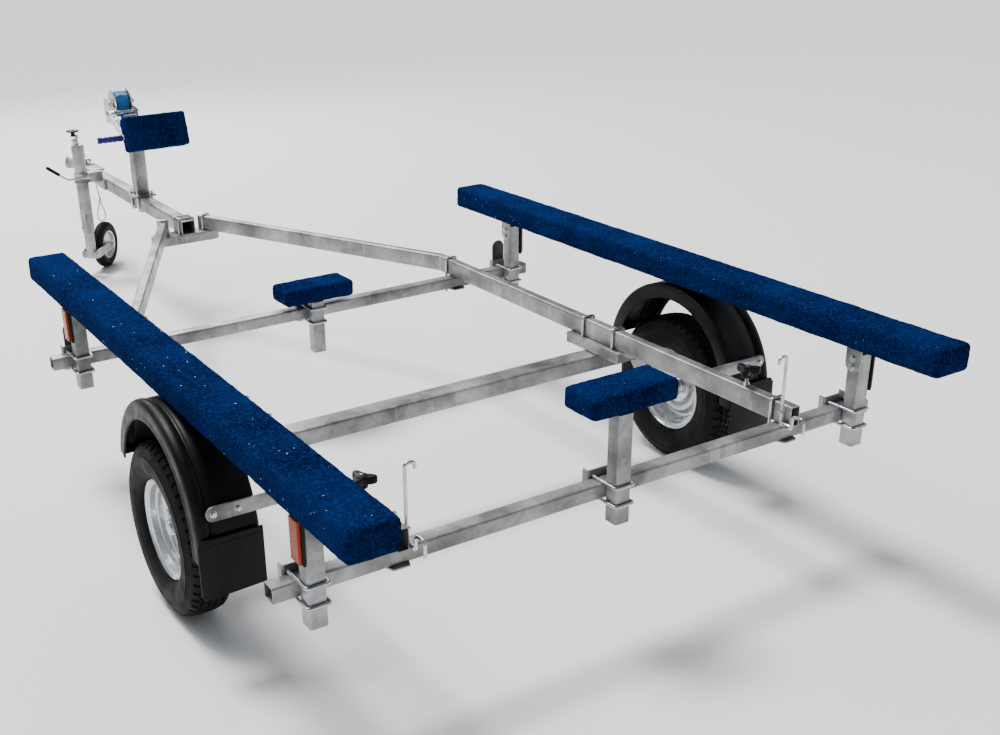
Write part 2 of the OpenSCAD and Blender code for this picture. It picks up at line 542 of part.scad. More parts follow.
// Inner tube with the fork that carries the small wheel
module jockey_stem() placed() color(steel) translate([-jockey_x, jockey_y, 0]) {
    translate([0, 0, 92]) cylinder(d = 50, h = 330, $fn = 64);
    translate([0, 0, 392]) cylinder(d = jtube_d - 6 - 2 * run, h = 30, $fn = 64);
    rotate([0, 0, -jockey_turn]) {
        for (x = [-41, 35]) translate([x, 0, 0]) rotate([0, 90, 0]) hull() {
            translate([-(jwheel_d / 2), fork_l, 0]) cylinder(d = 36, h = 6, $fn = 32);
            translate([-112, 0, 0]) cylinder(d = 44, h = 6, $fn = 32);
        }
        box(-38, 38, -16, 16, 92, 124);
        translate([-44, fork_l, jwheel_d / 2]) rotate([0, 90, 0]) cylinder(d = 12, h = 88, $fn = 32);
    }
}
module jockey_wheel_at() translate([-jockey_x, jockey_y, 0]) rotate([0, 0, -jockey_turn])
    translate([0, fork_l, jwheel_d / 2]) rotate([0, 90, 0]) children();
module jockey_rim() placed() color([0.8, 0.81, 0.83]) jockey_wheel_at() rotate_extrude($fn = 64)
    polygon([[6 + run, -28], [16, -28], [16, -4], [62, -4], [62, -20], [70, -22], [70, 22], [62, 20], [62, 4],
        [16, 4], [16, 28], [6 + run, 28]]);
module jockey_tyre() placed() color(black) jockey_wheel_at() rotate_extrude($fn = 96)
    polygon([[70 + gap, -22], [84, -jwheel_w / 2], [98, -jwheel_w / 2 + 4], [jwheel_d / 2, -12], [jwheel_d / 2, 12],
        [98, jwheel_w / 2 - 4], [84, jwheel_w / 2], [70 + gap, 22]]);

// Thin steel cable hanging from the drawbar, looped at its lower end
cable_d = 6;
cable_pts = [[-62, 3242, 475.7], [-62, 3242, 460], [-61, 3241, 444], [-59, 3239, 428], [-57, 3236, 412],
    [-56, 3232, 396], [-58, 3228, 380], [-63, 3224, 364], [-69, 3221, 348], [-75, 3219, 331], [-79, 3218, 313],
    [-79, 3218, 296], [-73, 3219, 282], [-62, 3220, 275], [-50, 3222, 277], [-41, 3224, 287], [-38, 3227, 302],
    [-39, 3230, 319], [-43, 3233, 336], [-47, 3236, 352], [-51, 3239, 367]];
cable_n = 10;
function unit(v) = v / norm(v);
function along(i) = let (n = len(cable_pts) - 1) unit(cable_pts[min(i + 1, n)] - cable_pts[max(i - 1, 0)]);
cable_up = [0, -1, 0];
function ring(i) = let (t = along(i), u = unit(cross(cable_up, t)), w = cross(t, u))
    [for (k = [0 : cable_n - 1]) cable_pts[i] + cable_d / 2 * (cos(360 * k / cable_n) * u + sin(360 * k / cable_n) * w)];
cable_rings = [for (i = [0 : len(cable_pts) - 1]) each ring(i)];
cable_faces = concat(
    [[for (k = [0 : cable_n - 1]) k]],
    [[for (k = [cable_n - 1 : -1 : 0]) (len(cable_pts) - 1) * cable_n + k]],
    [for (i = [0 : len(cable_pts) - 2]) for (k = [0 : cable_n - 1]) let (a = i * cable_n + k, b = i * cable_n + (k + 1) % cable_n)
        [b, a, a + cable_n, b + cable_n]]);
module safety_cable() placed() color([0.5, 0.5, 0.5]) polyhedron(points = cable_rings, faces = cable_faces);

drawbar();
junction();
rails();
beam_front();
beam_rear();
rail_clamps();
posts_front();
posts_rear();
post_clamps_front();
post_clamps_rear();
bunk_brackets();
bunk_left();
bunk_right();
keel_pads();
reflector_bases();
reflectors();
front_plates();
axle_beam();
axle_saddles();
axle_arms();
hub_left();
hub_right();
rim_left();
tyre_left();
rim_right();
tyre_right();
guard_left();
guard_right();
guard_stays();
rail_knobs();
knob_studs();
light_rods();
coupling_head();
coupling_handle();
winch_post();
bow_pad();
winch_frame();
winch_drum();
winch_reel();
winch_strap();
winch_crank();
winch_grip();
jockey_clamp();
clamp_lever();
jockey_tube();
jockey_crank();
jockey_cap();
jockey_stem();
jockey_rim();
jockey_tyre();
safety_cable();
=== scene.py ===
"""Looks of a galvanised boat trailer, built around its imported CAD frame.

Places are given in millimetres from the wheel axis: +X to the right, +Y towards the
coupling, +Z up from the ground. Yard.at() turns them into the frame's metres.
"""

import sys

import json
import logging
import math
import random
from dataclasses import dataclass, field
from enum import Enum
from typing import Callable, Iterable, Optional, Sequence

import bmesh
import bpy
from mathutils import Matrix, Vector

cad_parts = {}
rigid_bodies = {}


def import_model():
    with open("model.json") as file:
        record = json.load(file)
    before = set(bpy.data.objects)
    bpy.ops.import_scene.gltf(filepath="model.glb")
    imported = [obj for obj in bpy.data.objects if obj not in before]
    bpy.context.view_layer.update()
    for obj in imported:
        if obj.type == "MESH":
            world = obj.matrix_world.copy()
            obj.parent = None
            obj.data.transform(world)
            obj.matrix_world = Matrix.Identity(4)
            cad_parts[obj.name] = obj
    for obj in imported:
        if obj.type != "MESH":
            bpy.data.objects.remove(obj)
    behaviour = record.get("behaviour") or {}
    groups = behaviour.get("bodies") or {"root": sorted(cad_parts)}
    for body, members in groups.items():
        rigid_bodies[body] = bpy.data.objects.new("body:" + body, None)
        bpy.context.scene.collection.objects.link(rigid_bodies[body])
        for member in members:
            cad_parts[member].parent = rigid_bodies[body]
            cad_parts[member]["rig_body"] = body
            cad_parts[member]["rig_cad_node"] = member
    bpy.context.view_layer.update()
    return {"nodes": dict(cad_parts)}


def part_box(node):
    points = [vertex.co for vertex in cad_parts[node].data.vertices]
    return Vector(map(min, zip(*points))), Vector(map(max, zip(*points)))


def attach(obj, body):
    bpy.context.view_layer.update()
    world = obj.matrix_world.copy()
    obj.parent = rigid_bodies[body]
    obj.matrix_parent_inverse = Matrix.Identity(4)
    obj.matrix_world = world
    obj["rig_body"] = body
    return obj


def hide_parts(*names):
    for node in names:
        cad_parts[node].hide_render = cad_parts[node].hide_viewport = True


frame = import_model()
LOG = logging.getLogger("boat_trailer")
MM = 0.001

Point = tuple[float, float, float]
Outline = Sequence[tuple[float, float]]
Piece = bpy.types.Object
UP = Vector((0, 0, 1))
# turns an outline drawn flat so that it stands along the trailer, facing sideways
UPRIGHT = Matrix(((0, 0, 1, 0), (1, 0, 0, 0), (0, 1, 0, 0), (0, 0, 0, 1)))


class Pick(Enum):
    """Kinds of mesh element that can be selected."""

    VERT = "VERT"
    EDGE = "EDGE"
    FACE = "FACE"


class Slot(Enum):
    """Material slots of the record."""

    GALVANISED = "galvanised"
    ZINC = "zinc"
    CARPET = "carpet"
    BLACK = "black_plastic"
    AMBER = "amber"
    GREY = "grey_plate"
    TYRE = "tyre"
    RIM = "rim"
    STRAP = "strap"
    GRIP = "grip"
    CABLE = "cable"


class Yard:
    """Places in the frame, measured from the wheel axis."""

    axle_y = sum(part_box("hub_left")[i].y for i in (0, 1)) / 2

    @classmethod
    def at(cls, x: float, y: float, z: float) -> Vector:
        """Turn a place into the frame's metres.

        Args:
            x: millimetres right of the centre line.
            y: millimetres forward of the wheel axis.
            z: millimetres above the ground.

        Returns:
            The point in the row frame.
        """
        return Vector((x * MM, y * MM + cls.axle_y, z * MM))

    @staticmethod
    def turned(axis: Vector) -> Matrix:
        """Rotation that takes +Z to an axis."""
        return Vector(axis).to_track_quat("Z", "Y").to_matrix().to_4x4()


class Bench:
    """Modelling steps that every sub-assembly shares, done with Blender's own operators."""

    @staticmethod
    def clear() -> None:
        """Go to object mode with nothing selected."""
        if bpy.context.mode != "OBJECT":
            bpy.ops.object.mode_set(mode="OBJECT")
        bpy.ops.object.select_all(action="DESELECT")

    @classmethod
    def focus(cls, *objs: Piece) -> None:
        """Select these objects alone, the first one active.

        Args:
            objs: objects to select; the first becomes the active one.
        """
        cls.clear()
        for obj in objs:
            obj.select_set(True)
        bpy.context.view_layer.objects.active = objs[0]

    @classmethod
    def settle(cls, obj: Piece) -> Piece:
        """Put an object's place, turn and size into its mesh.

        Args:
            obj: mesh object to work on.

        Returns:
            The same object.
        """
        cls.focus(obj)
        bpy.ops.object.transform_apply(location=True, rotation=True, scale=True)
        return obj

    @classmethod
    def pick(cls, obj: Piece, kind: Pick, test: Callable[[object], bool]) -> int:
        """Open edit mode with only some elements selected.

        Args:
            obj: mesh object to edit.
            kind: kind of element to select.
            test: says whether a BMesh element is wanted.

        Returns:
            The number of elements selected.
        """
        cls.focus(obj)
        bpy.ops.object.mode_set(mode="EDIT")
        bpy.ops.mesh.select_mode(type=kind.value)
        bpy.ops.mesh.select_all(action="DESELECT")
        mesh = bmesh.from_edit_mesh(obj.data)
        mesh.normal_update()
        pool = {Pick.VERT: mesh.verts, Pick.EDGE: mesh.edges, Pick.FACE: mesh.faces}[kind]
        found = [e for e in pool if test(e)]
        for element in found:
            element.select_set(True)
        mesh.select_flush_mode()
        bmesh.update_edit_mesh(obj.data)
        return len(found)

    @classmethod
    def modify(cls, obj: Piece, kind: str, **settings: object) -> Piece:
        """Add a modifier with these settings and apply it.

        Args:
            obj: mesh object to work on.
            kind: the modifier's type.
            settings: the modifier's settings, by their names.

        Returns:
            The same object.
        """
        modifier = obj.modifiers.new(kind.lower(), kind)
        for key, value in settings.items():
            setattr(modifier, key, value)
        cls.focus(obj)
        bpy.ops.object.modifier_apply(modifier=modifier.name)
        return obj

    @classmethod
    def soften(cls, obj: Piece, width: float, segments: int = 2, angle: float = 35.0,
               smooth: float = 40.0) -> Piece:
        """Round an object's sharp edges and shade it smooth.

        Args:
            obj: mesh object.
            width: width of the rounding, in millimetres.
            segments: steps across the rounding.
            angle: edges sharper than this many degrees are rounded.
            smooth: faces that meet at less than this many degrees are shaded as one.

        Returns:
            The same object.
        """
        if width > 0:
            cls.modify(obj, "BEVEL", width=width * MM, segments=segments, limit_method="ANGLE",
                       angle_limit=math.radians(angle), use_clamp_overlap=True)
        cls.focus(obj)
        bpy.ops.object.shade_smooth_by_angle(angle=math.radians(smooth))
        return obj

    @classmethod
    def recalculate(cls, obj: Piece) -> Piece:
        """Merge an object's doubles and point its faces outwards.

        Args:
            obj: mesh object to work on.

        Returns:
            The same object.
        """
        cls.focus(obj)
        bpy.ops.object.mode_set(mode="EDIT")
        bpy.ops.mesh.select_all(action="SELECT")
        bpy.ops.mesh.remove_doubles(threshold=0.01 * MM)
        bpy.ops.mesh.normals_make_consistent(inside=False)
        bpy.ops.object.mode_set(mode="OBJECT")
        return obj

    @staticmethod
    def swing(steps: int, angle: float, centre: Vector, axis: Sequence[float]) -> None:
        """Extrude the selection round an axis, counter-clockwise as seen from its tip."""
        bpy.ops.mesh.spin(steps=steps, angle=-angle, center=centre, axis=axis)

    @classmethod
    def join(cls, name: str, parts: Sequence[Piece]) -> Piece:
        """Join several objects into one mesh object with this name.

        Args:
            name: name of the finished object.
            parts: mesh objects to join.

        Returns:
            The joined object.
        """
        cls.focus(*parts)
        if len(parts) > 1:
            bpy.ops.object.join()
        obj = bpy.context.view_layer.objects.active
        obj.name = obj.data.name = name
        return obj

    @classmethod
    def copy(cls, obj: Piece, place: Matrix) -> Piece:
        """Copy an object with its own mesh, moved by a matrix.

        Args:
            obj: finished mesh object.
            place: where the copy goes, from the original's place.

        Returns:
            The copy, with the move in its mesh.
        """
        twin = obj.copy()
        twin.data = obj.data.copy()
        bpy.context.scene.collection.objects.link(twin)
        twin.data.transform(place)
        if place.determinant() < 0:
            cls.focus(twin)
            bpy.ops.object.mode_set(mode="EDIT")
            bpy.ops.mesh.select_all(action="SELECT")
            bpy.ops.mesh.flip_normals()
            bpy.ops.object.mode_set(mode="OBJECT")
        return twin

    @classmethod
    def spread(cls, name: str, obj: Piece, places: Iterable[Matrix]) -> Piece:
        """Copy an object to several places and join the copies, without the original.

        Args:
            name: name of the finished object.
            obj: mesh object to work on.
            places: where each copy goes.

        Returns:
            The joined copies.
        """
        twins = [cls.copy(obj, place) for place in places]
        bpy.data.objects.remove(obj)
        return cls.join(name, twins)

    @classmethod
    def both_sides(cls, name: str, obj: Piece) -> Piece:
        """Join an object with its mirror image across the centre line."""
        return cls.join(name, [obj, cls.copy(obj, Matrix.Scale(-1, 4, (1, 0, 0)))])

    @classmethod
    def box(cls, name: str, low: Point, high: Point, round_mm: float = 1.5,
            segments: int = 2) -> Piece:
        """A block between two corners, with rounded edges.

        Args:
            name: name of the finished object.
            low: lower corner, in millimetres.
            high: upper corner, in millimetres.
            round_mm: width of the rounded edges, in millimetres.
            segments: steps across a rounded edge.

        Returns:
            The block.
        """
        a, b = Yard.at(*low), Yard.at(*high)
        cls.clear()
        bpy.ops.mesh.primitive_cube_add(size=1, location=(a + b) / 2)
        obj = bpy.context.object
        obj.name = name
        obj.scale = b - a
        cls.settle(obj)
        return cls.soften(obj, round_mm, segments)

    @classmethod
    def pin(cls, name: str, start: Point, end: Point, d: float, sides: int = 24,
            round_mm: float = 1.0, far_d: Optional[float] = None) -> Piece:
        """A round bar between two points, with rounded rims.

        Args:
            name: object name.
            start: middle of one end.
            end: middle of the other end.
            d: diameter, in millimetres.
            sides: number of sides.
            round_mm: rounding of the rims.
            far_d: diameter at the far end, if it tapers.

        Returns:
            The bar.
        """
        a, b = Yard.at(*start), Yard.at(*end)
        cls.clear()
        bpy.ops.mesh.primitive_cone_add(vertices=sides, radius1=d / 2 * MM,
                                        radius2=(far_d or d) / 2 * MM, depth=(b - a).length)
        obj = bpy.context.object
        obj.name = name
        obj.matrix_world = Matrix.Translation((a + b) / 2) @ Yard.turned(b - a)
        cls.settle(obj)
        return cls.soften(obj, round_mm, 2)

    @classmethod
    def lathe(cls, name: str, profile: Outline, centre: Point, axis: Point, sides: int = 64,
              closed: bool = False, smooth: float = 40.0) -> Piece:
        """A turned piece: a ring that is extruded and resized along a profile.

        Args:
            name: object name.
            profile: radius and height along the axis at each step, in millimetres.
            centre: place of height zero.
            axis: direction of the turning axis.
            sides: number of sides.
            closed: whether the last step goes back to the first, as on a tyre.
            smooth: faces that meet at less than this many degrees are shaded as one.

        Returns:
            The turned piece.
        """
        tiny = 0.02
        steps = [(max(r, tiny), h) for r, h in profile]
        if closed:
            steps.append(steps[0])
        cls.clear()
        bpy.ops.mesh.primitive_circle_add(vertices=sides, radius=steps[0][0] * MM,
                                          fill_type="NOTHING" if closed else "NGON",
                                          location=(0, 0, steps[0][1] * MM))
        obj = bpy.context.object
        obj.name = name
        cls.settle(obj)
        rim = steps[0][1] * MM
        cls.pick(obj, Pick.EDGE, lambda e: all(abs(v.co.z - rim) < 1e-7 for v in e.verts))
        for (r0, h0), (r1, h1) in zip(steps, steps[1:]):
            bpy.ops.mesh.extrude_edges_move(TRANSFORM_OT_translate={"value": (0, 0,
                    (h1 - h0) * MM)})
            bpy.ops.transform.resize(value=(r1 / r0, r1 / r0, 1), center_override=(0, 0, h1 * MM))
        if not closed:
            bpy.ops.mesh.edge_face_add()
        bpy.ops.mesh.select_all(action="SELECT")
        bpy.ops.mesh.remove_doubles(threshold=0.01 * MM)
        bpy.ops.mesh.normals_make_consistent(inside=False)
        bpy.ops.object.mode_set(mode="OBJECT")
        obj.matrix_world = Matrix.Translation(Yard.at(*centre)) @ Yard.turned(Vector(axis))
        cls.settle(obj)
        cls.focus(obj)
        bpy.ops.object.shade_smooth_by_angle(angle=math.radians(smooth))
        return obj

    @classmethod
    def bar(cls, name: str, points: Sequence[Point], d: float, bend: float, sides: int = 16,
            steps: int = 8) -> Piece:
        """A round rod bent at the corners of a path.

        Args:
            name: object name.
            points: ends and corners of the rod's middle line.
            d: diameter, in millimetres.
            bend: bending radius at every corner, in millimetres.
            sides: number of sides.
            steps: steps round each bend.

        Returns:
            The rod, closed at both ends.
        """
        path = [Yard.at(*p) for p in points]
        cls.clear()
        bpy.ops.mesh.primitive_circle_add(vertices=sides, radius=d / 2 * MM, fill_type="NOTHING")
        obj = bpy.context.object
        obj.name = name
        obj.matrix_world = Matrix.Translation(path[0]) @ Yard.turned(path[1] - path[0])
        cls.settle(obj)
        cls.pick(obj, Pick.EDGE, lambda e: True)
        here = path[0]
        for i in range(1, len(path)):
            run = (path[i] - path[i - 1]).normalized()
            if i == len(path) - 1:
                bpy.ops.mesh.extrude_edges_move(TRANSFORM_OT_translate={"value": path[i] - here})
                break
            after = (path[i + 1] - path[i]).normalized()
            turn = run.angle(after)
            reach = bend * MM * math.tan(turn / 2)
            stop = path[i] - run * reach
            if (stop - here).length > 1e-6:
                bpy.ops.mesh.extrude_edges_move(TRANSFORM_OT_translate={"value": stop - here})
            axis = run.cross(after).normalized()
            middle = stop + axis.cross(run).normalized() * bend * MM
            cls.swing(steps, turn, middle, axis)
            here = path[i] + after * reach
        bpy.ops.object.mode_set(mode="OBJECT")
        cls.pick(obj, Pick.EDGE, lambda e: e.is_boundary)
        bpy.ops.mesh.fill_holes(sides=0)
        cls.recalculate(obj)
        bpy.ops.object.shade_smooth_by_angle(angle=math.radians(50))
        return obj

    @classmethod
    def plate(cls, name: str, outline: Outline, thick: float, place: Matrix, round_mm: float = 0.8,
              segments: int = 2) -> Piece:
        """A flat piece cut to an outline.

        Args:
            name: object name.
            outline: corners in the plate's own plane, in millimetres.
            thick: thickness along the plate's own +Z.
            place: matrix from the plate's plane, in metres, to the frame.
            round_mm: rounding of the edges.
            segments: steps across the rounding.

        Returns:
            The plate.
        """
        cls.clear()
        bpy.ops.mesh.primitive_circle_add(vertices=len(outline), radius=MM, fill_type="NGON")
        obj = bpy.context.object
        obj.name = name
        for vert, (x, y) in zip(obj.data.vertices, outline):
            vert.co = (x * MM, y * MM, 0)
        cls.pick(obj, Pick.FACE, lambda f: True)
        bpy.ops.mesh.extrude_region_move(TRANSFORM_OT_translate={"value": (0, 0, thick * MM)})
        cls.recalculate(obj)
        obj.data.transform(place)
        if place.determinant() < 0:
            cls.recalculate(obj)
        return cls.soften(obj, round_mm, segments)

    @classmethod
    def dressed(cls, name: str, node: str, round_mm: float = 1.2, segments: int = 2) -> Piece:
        """A copy of a CAD node with its doubles merged and its edges rounded.

        Args:
            name: name of the finished object.
            node: CAD node to copy.
            round_mm: width of the rounded edges, in millimetres.
            segments: steps across a rounded edge.

        Returns:
            The copy, ready to dress.
        """
        obj = frame["nodes"][node].copy()
        obj.data = obj.data.copy()
        bpy.context.scene.collection.objects.link(obj)
        obj.parent = None
        obj.hide_render = obj.hide_viewport = False
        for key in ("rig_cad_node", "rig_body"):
            if key in obj:
                del obj[key]
        obj.name = obj.data.name = name
        obj.data.materials.clear()
        cls.recalculate(obj)
        cls.focus(obj)
        bpy.ops.object.mode_set(mode="EDIT")
        bpy.ops.mesh.select_all(action="SELECT")
        bpy.ops.mesh.dissolve_limited(angle_limit=math.radians(1))
        bpy.ops.object.mode_set(mode="OBJECT")
        return cls.soften(obj, round_mm, segments, angle=32)


class Paint:
    """A material's node tree, and short ways to add to it."""

    def __init__(self, name: str) -> None:
        """Start an empty material with a Principled shader.

        Args:
            name: the material's name.
        """
        self.material = bpy.data.materials.new(name)
        self.material.use_nodes = True
        self.tree = self.material.node_tree
        self.tree.nodes.clear()
        self.out = self.tree.nodes.new("ShaderNodeOutputMaterial")
        self.shader = self.tree.nodes.new("ShaderNodeBsdfPrincipled")
        self.tree.links.new(self.shader.outputs["BSDF"], self.out.inputs["Surface"])
        self.place = self.tree.nodes.new("ShaderNodeTexCoord").outputs["Object"]

    def set(self, **values: object) -> "Paint":
        """Set numbers and colours on the shader's own sockets.

        Args:
            values: value of each socket, by its name with underscores.

        Returns:
            The paint itself.
        """
        for key, value in values.items():
            self.shader.inputs[key.replace("_", " ")].default_value = value
        return self

    def feed(self, socket: bpy.types.NodeSocket, value: object) -> None:
        """Link a source to a socket, or set the socket's own value."""
        if isinstance(value, bpy.types.NodeSocket):
            self.tree.links.new(value, socket)
        else:
            socket.default_value = value

    def node(self, kind: str, settings: Optional[dict] = None, **inputs: object) -> bpy.types.Node:
        """Add a node.

        Args:
            kind: the node's type, without its ShaderNode prefix.
            settings: values of the node's own settings.
            inputs: value or source socket of each input, by its name with underscores.

        Returns:
            The node.
        """
        node = self.tree.nodes.new("ShaderNode" + kind)
        for key, value in (settings or {}).items():
            setattr(node, key, value)
        for key, value in inputs.items():
            self.feed(node.inputs[key.replace("_", " ")], value)
        return node

    def shared(self, group: bpy.types.NodeTree, **inputs: object) -> bpy.types.Node:
        """Add a shared effect, with its inputs given by name.

        Args:
            group: the effect's node group.
            inputs: value or source of each input, by name.

        Returns:
            The group node.
        """
        node = self.tree.nodes.new("ShaderNodeGroup")
        node.node_tree = group
        for key, value in inputs.items():
            self.feed(node.inputs[key.replace("_", " ")], value)
        return node

    def ramp(self, source: bpy.types.NodeSocket, stops: Sequence[tuple[float,
            tuple]]) -> bpy.types.NodeSocket:
        """Colours along a value, from (position, colour) stops.

        Args:
            source: socket that drives the ramp.
            stops: position and colour of each stop.

        Returns:
            The ramp's colour socket.
        """
        node = self.node("ValToRGB", Fac=source)
        ramp = node.color_ramp
        while len(ramp.elements) < len(stops):
            ramp.elements.new(0.5)
        for element, (position, colour) in zip(ramp.elements, stops):
            element.position = position
            element.color = (*colour, 1)
        return node.outputs["Color"]

    def mix(self, share: object, a: object, b: object, blend: str = "MIX") -> bpy.types.NodeSocket:
        """Mix two colours by a share.

        Args:
            share: share of the second colour.
            a: first colour.
            b: second colour.
            blend: the mix node's blend type.

        Returns:
            The mix's colour socket.
        """
        node = self.tree.nodes.new("ShaderNodeMix")
        node.data_type, node.blend_type = "RGBA", blend
        for index, value in ((0, share), (6, a), (7, b)):
            self.feed(node.inputs[index], value)
        return node.outputs[2]

    def into(self, socket: str, source: bpy.types.NodeSocket) -> "Paint":
        """Link a source to one of the shader's sockets."""
        self.tree.links.new(source, self.shader.inputs[socket])
        return self


class Effects:
    """Effects that several finishes share, as node groups."""

    made: dict[str, bpy.types.NodeTree] = {}

    @classmethod
    def group(cls, name: str, inputs: dict[str, tuple[str, object]], outputs: dict[str, str]
              ) -> tuple[bpy.types.NodeTree, bpy.types.Node, bpy.types.Node]:
        """Start a node group with these sockets.

        Args:
            name: the group's name.
            inputs: type and first value of each input, by name.
            outputs: type of each output, by name.

        Returns:
            The tree with its input and output nodes.
        """
        tree = bpy.data.node_groups.new(name, "ShaderNodeTree")
        for key, (kind, value) in inputs.items():
            socket = tree.interface.new_socket(key, in_out="INPUT", socket_type="NodeSocket" + kind)
            if value is not None:
                socket.default_value = value
        for key, kind in outputs.items():
            tree.interface.new_socket(key, in_out="OUTPUT", socket_type="NodeSocket" + kind)
        cls.made[name] = tree
        return tree, tree.nodes.new("NodeGroupInput"), tree.nodes.new("NodeGroupOutput")

    @classmethod
    def clouds(cls) -> bpy.types.NodeTree:
        """Soft cloudy value between a low and a high level, at a scale per metre.

        Returns:
            The node group.
        """
        if "clouds" in cls.made:
            return cls.made["clouds"]
        tree, source, sink = cls.group("clouds", {"Vector": ("Vector", None),
                "Scale": ("Float", 10.0), "Detail": ("Float", 4.0), "From": ("Float", 0.35),
                "To": ("Float", 0.65), "Low": ("Float", 0.0), "High": ("Float", 1.0)},
                                       {"Value": "Float"})
        noise = tree.nodes.new("ShaderNodeTexNoise")
        span = tree.nodes.new("ShaderNodeMapRange")
        link = tree.links.new
        for key in ("Vector", "Scale", "Detail"):
            link(source.outputs[key], noise.inputs[key])
        link(noise.outputs["Fac"], span.inputs["Value"])
        for key, to in (("From", "From Min"), ("To", "From Max"), ("Low", "To Min"),
                        ("High", "To Max")):
            link(source.outputs[key], span.inputs[to])
        link(span.outputs["Result"], sink.inputs["Value"])
        return tree

    @classmethod
    def grain(cls) -> bpy.types.NodeTree:
        """Fine bumps of a scale and height.

        Returns:
            The node group.
        """
        if "grain" in cls.made:
            return cls.made["grain"]
        tree, source, sink = cls.group("grain", {"Vector": ("Vector", None),
                "Scale": ("Float", 400.0), "Strength": ("Float", 0.2), "Height": ("Float", 0.0005)},
                                       {"Normal": "Vector"})
        noise = tree.nodes.new("ShaderNodeTexNoise")
        noise.inputs["Detail"].default_value = 3.0
        bump = tree.nodes.new("ShaderNodeBump")
        link = tree.links.new
        link(source.outputs["Vector"], noise.inputs["Vector"])
        link(source.outputs["Scale"], noise.inputs["Scale"])
        link(source.outputs["Strength"], bump.inputs["Strength"])
        link(source.outputs["Height"], bump.inputs["Distance"])
        link(noise.outputs["Fac"], bump.inputs["Height"])
        link(bump.outputs["Normal"], sink.inputs["Normal"])
        return tree


@dataclass(frozen=True)
class Galvanised:
    """Hot-dip galvanised steel: grey zinc with a faint spangle, cloudy bloom and drips."""

    name: str = "galvanised"
    bright: tuple = (0.42, 0.425, 0.43)
    dull: tuple = (0.15, 0.149, 0.143)
    spangle: float = 55.0
    roughness: tuple = (0.30, 0.52)

    def make(self) -> bpy.types.Material:
        """Build the material.

        Returns:
            The finished material.
        """
        p = Paint(self.name).set(Metallic=0.7, Roughness=0.4)
        cells = p.node("TexVoronoi", {"feature": "F1"}, Vector=p.place, Scale=self.spangle)
        bloom = p.shared(Effects.clouds(), Vector=p.place, Scale=7.0, Detail=6.0, From=0.35,
                         To=0.68)
        grey = p.mix(bloom.outputs["Value"], (*self.dull, 1), (*self.bright, 1))
        facet = p.node("SeparateColor", Color=cells.outputs["Color"])
        tone = p.node("MapRange", Value=facet.outputs["Red"], To_Min=0.86, To_Max=1.1)
        tint = p.node("CombineColor", Red=tone.outputs["Result"], Green=tone.outputs["Result"],
                      Blue=tone.outputs["Result"])
        colour = p.mix(1.0, grey, tint.outputs["Color"], "MULTIPLY")
        stretched = p.node("Mapping", Vector=p.place, Scale=(30.0, 30.0, 4.0))
        drip = p.shared(Effects.clouds(), Vector=stretched.outputs["Vector"], Scale=1.0, Detail=3.0,
                        From=0.60, To=0.74, Low=0.0, High=0.28)
        chalk = p.mix(drip.outputs["Value"], colour, (0.78, 0.79, 0.80, 1))
        p.into("Base Color", chalk)
        rough = p.shared(Effects.clouds(), Vector=p.place, Scale=16.0, Detail=5.0, From=0.3, To=0.7,
                         Low=self.roughness[0], High=self.roughness[1])
        p.into("Roughness", rough.outputs["Value"])
        ripple = p.shared(Effects.grain(), Vector=p.place, Scale=90.0, Strength=0.25, Height=0.0006)
        p.into("Normal", ripple.outputs["Normal"])
        return p.material


@dataclass(frozen=True)
class BrightZinc:
    """Electroplated zinc on bolts, clamps and winch steel."""

    name: str = "bright_zinc"
    colour: tuple = (0.58, 0.59, 0.61)
    tarnish: tuple = (0.30, 0.29, 0.27)
    roughness: tuple = (0.18, 0.36)

    def make(self) -> bpy.types.Material:
        """Build the material.

        Returns:
            The finished material.
        """
        p = Paint(self.name).set(Metallic=1.0, Roughness=0.25)
        patches = p.shared(Effects.clouds(), Vector=p.place, Scale=28.0, Detail=5.0, From=0.48,
                           To=0.75, Low=0.0, High=0.8)
        p.into("Base Color", p.mix(patches.outputs["Value"], (*self.colour, 1), (*self.tarnish, 1)))
        rough = p.shared(Effects.clouds(), Vector=p.place, Scale=60.0, Detail=3.0, From=0.3, To=0.7,
                         Low=self.roughness[0], High=self.roughness[1])
        p.into("Roughness", rough.outputs["Value"])
        p.into("Normal", p.shared(Effects.grain(), Vector=p.place, Scale=260.0, Strength=0.15,
                                  Height=0.0003).outputs["Normal"])
        return p.material


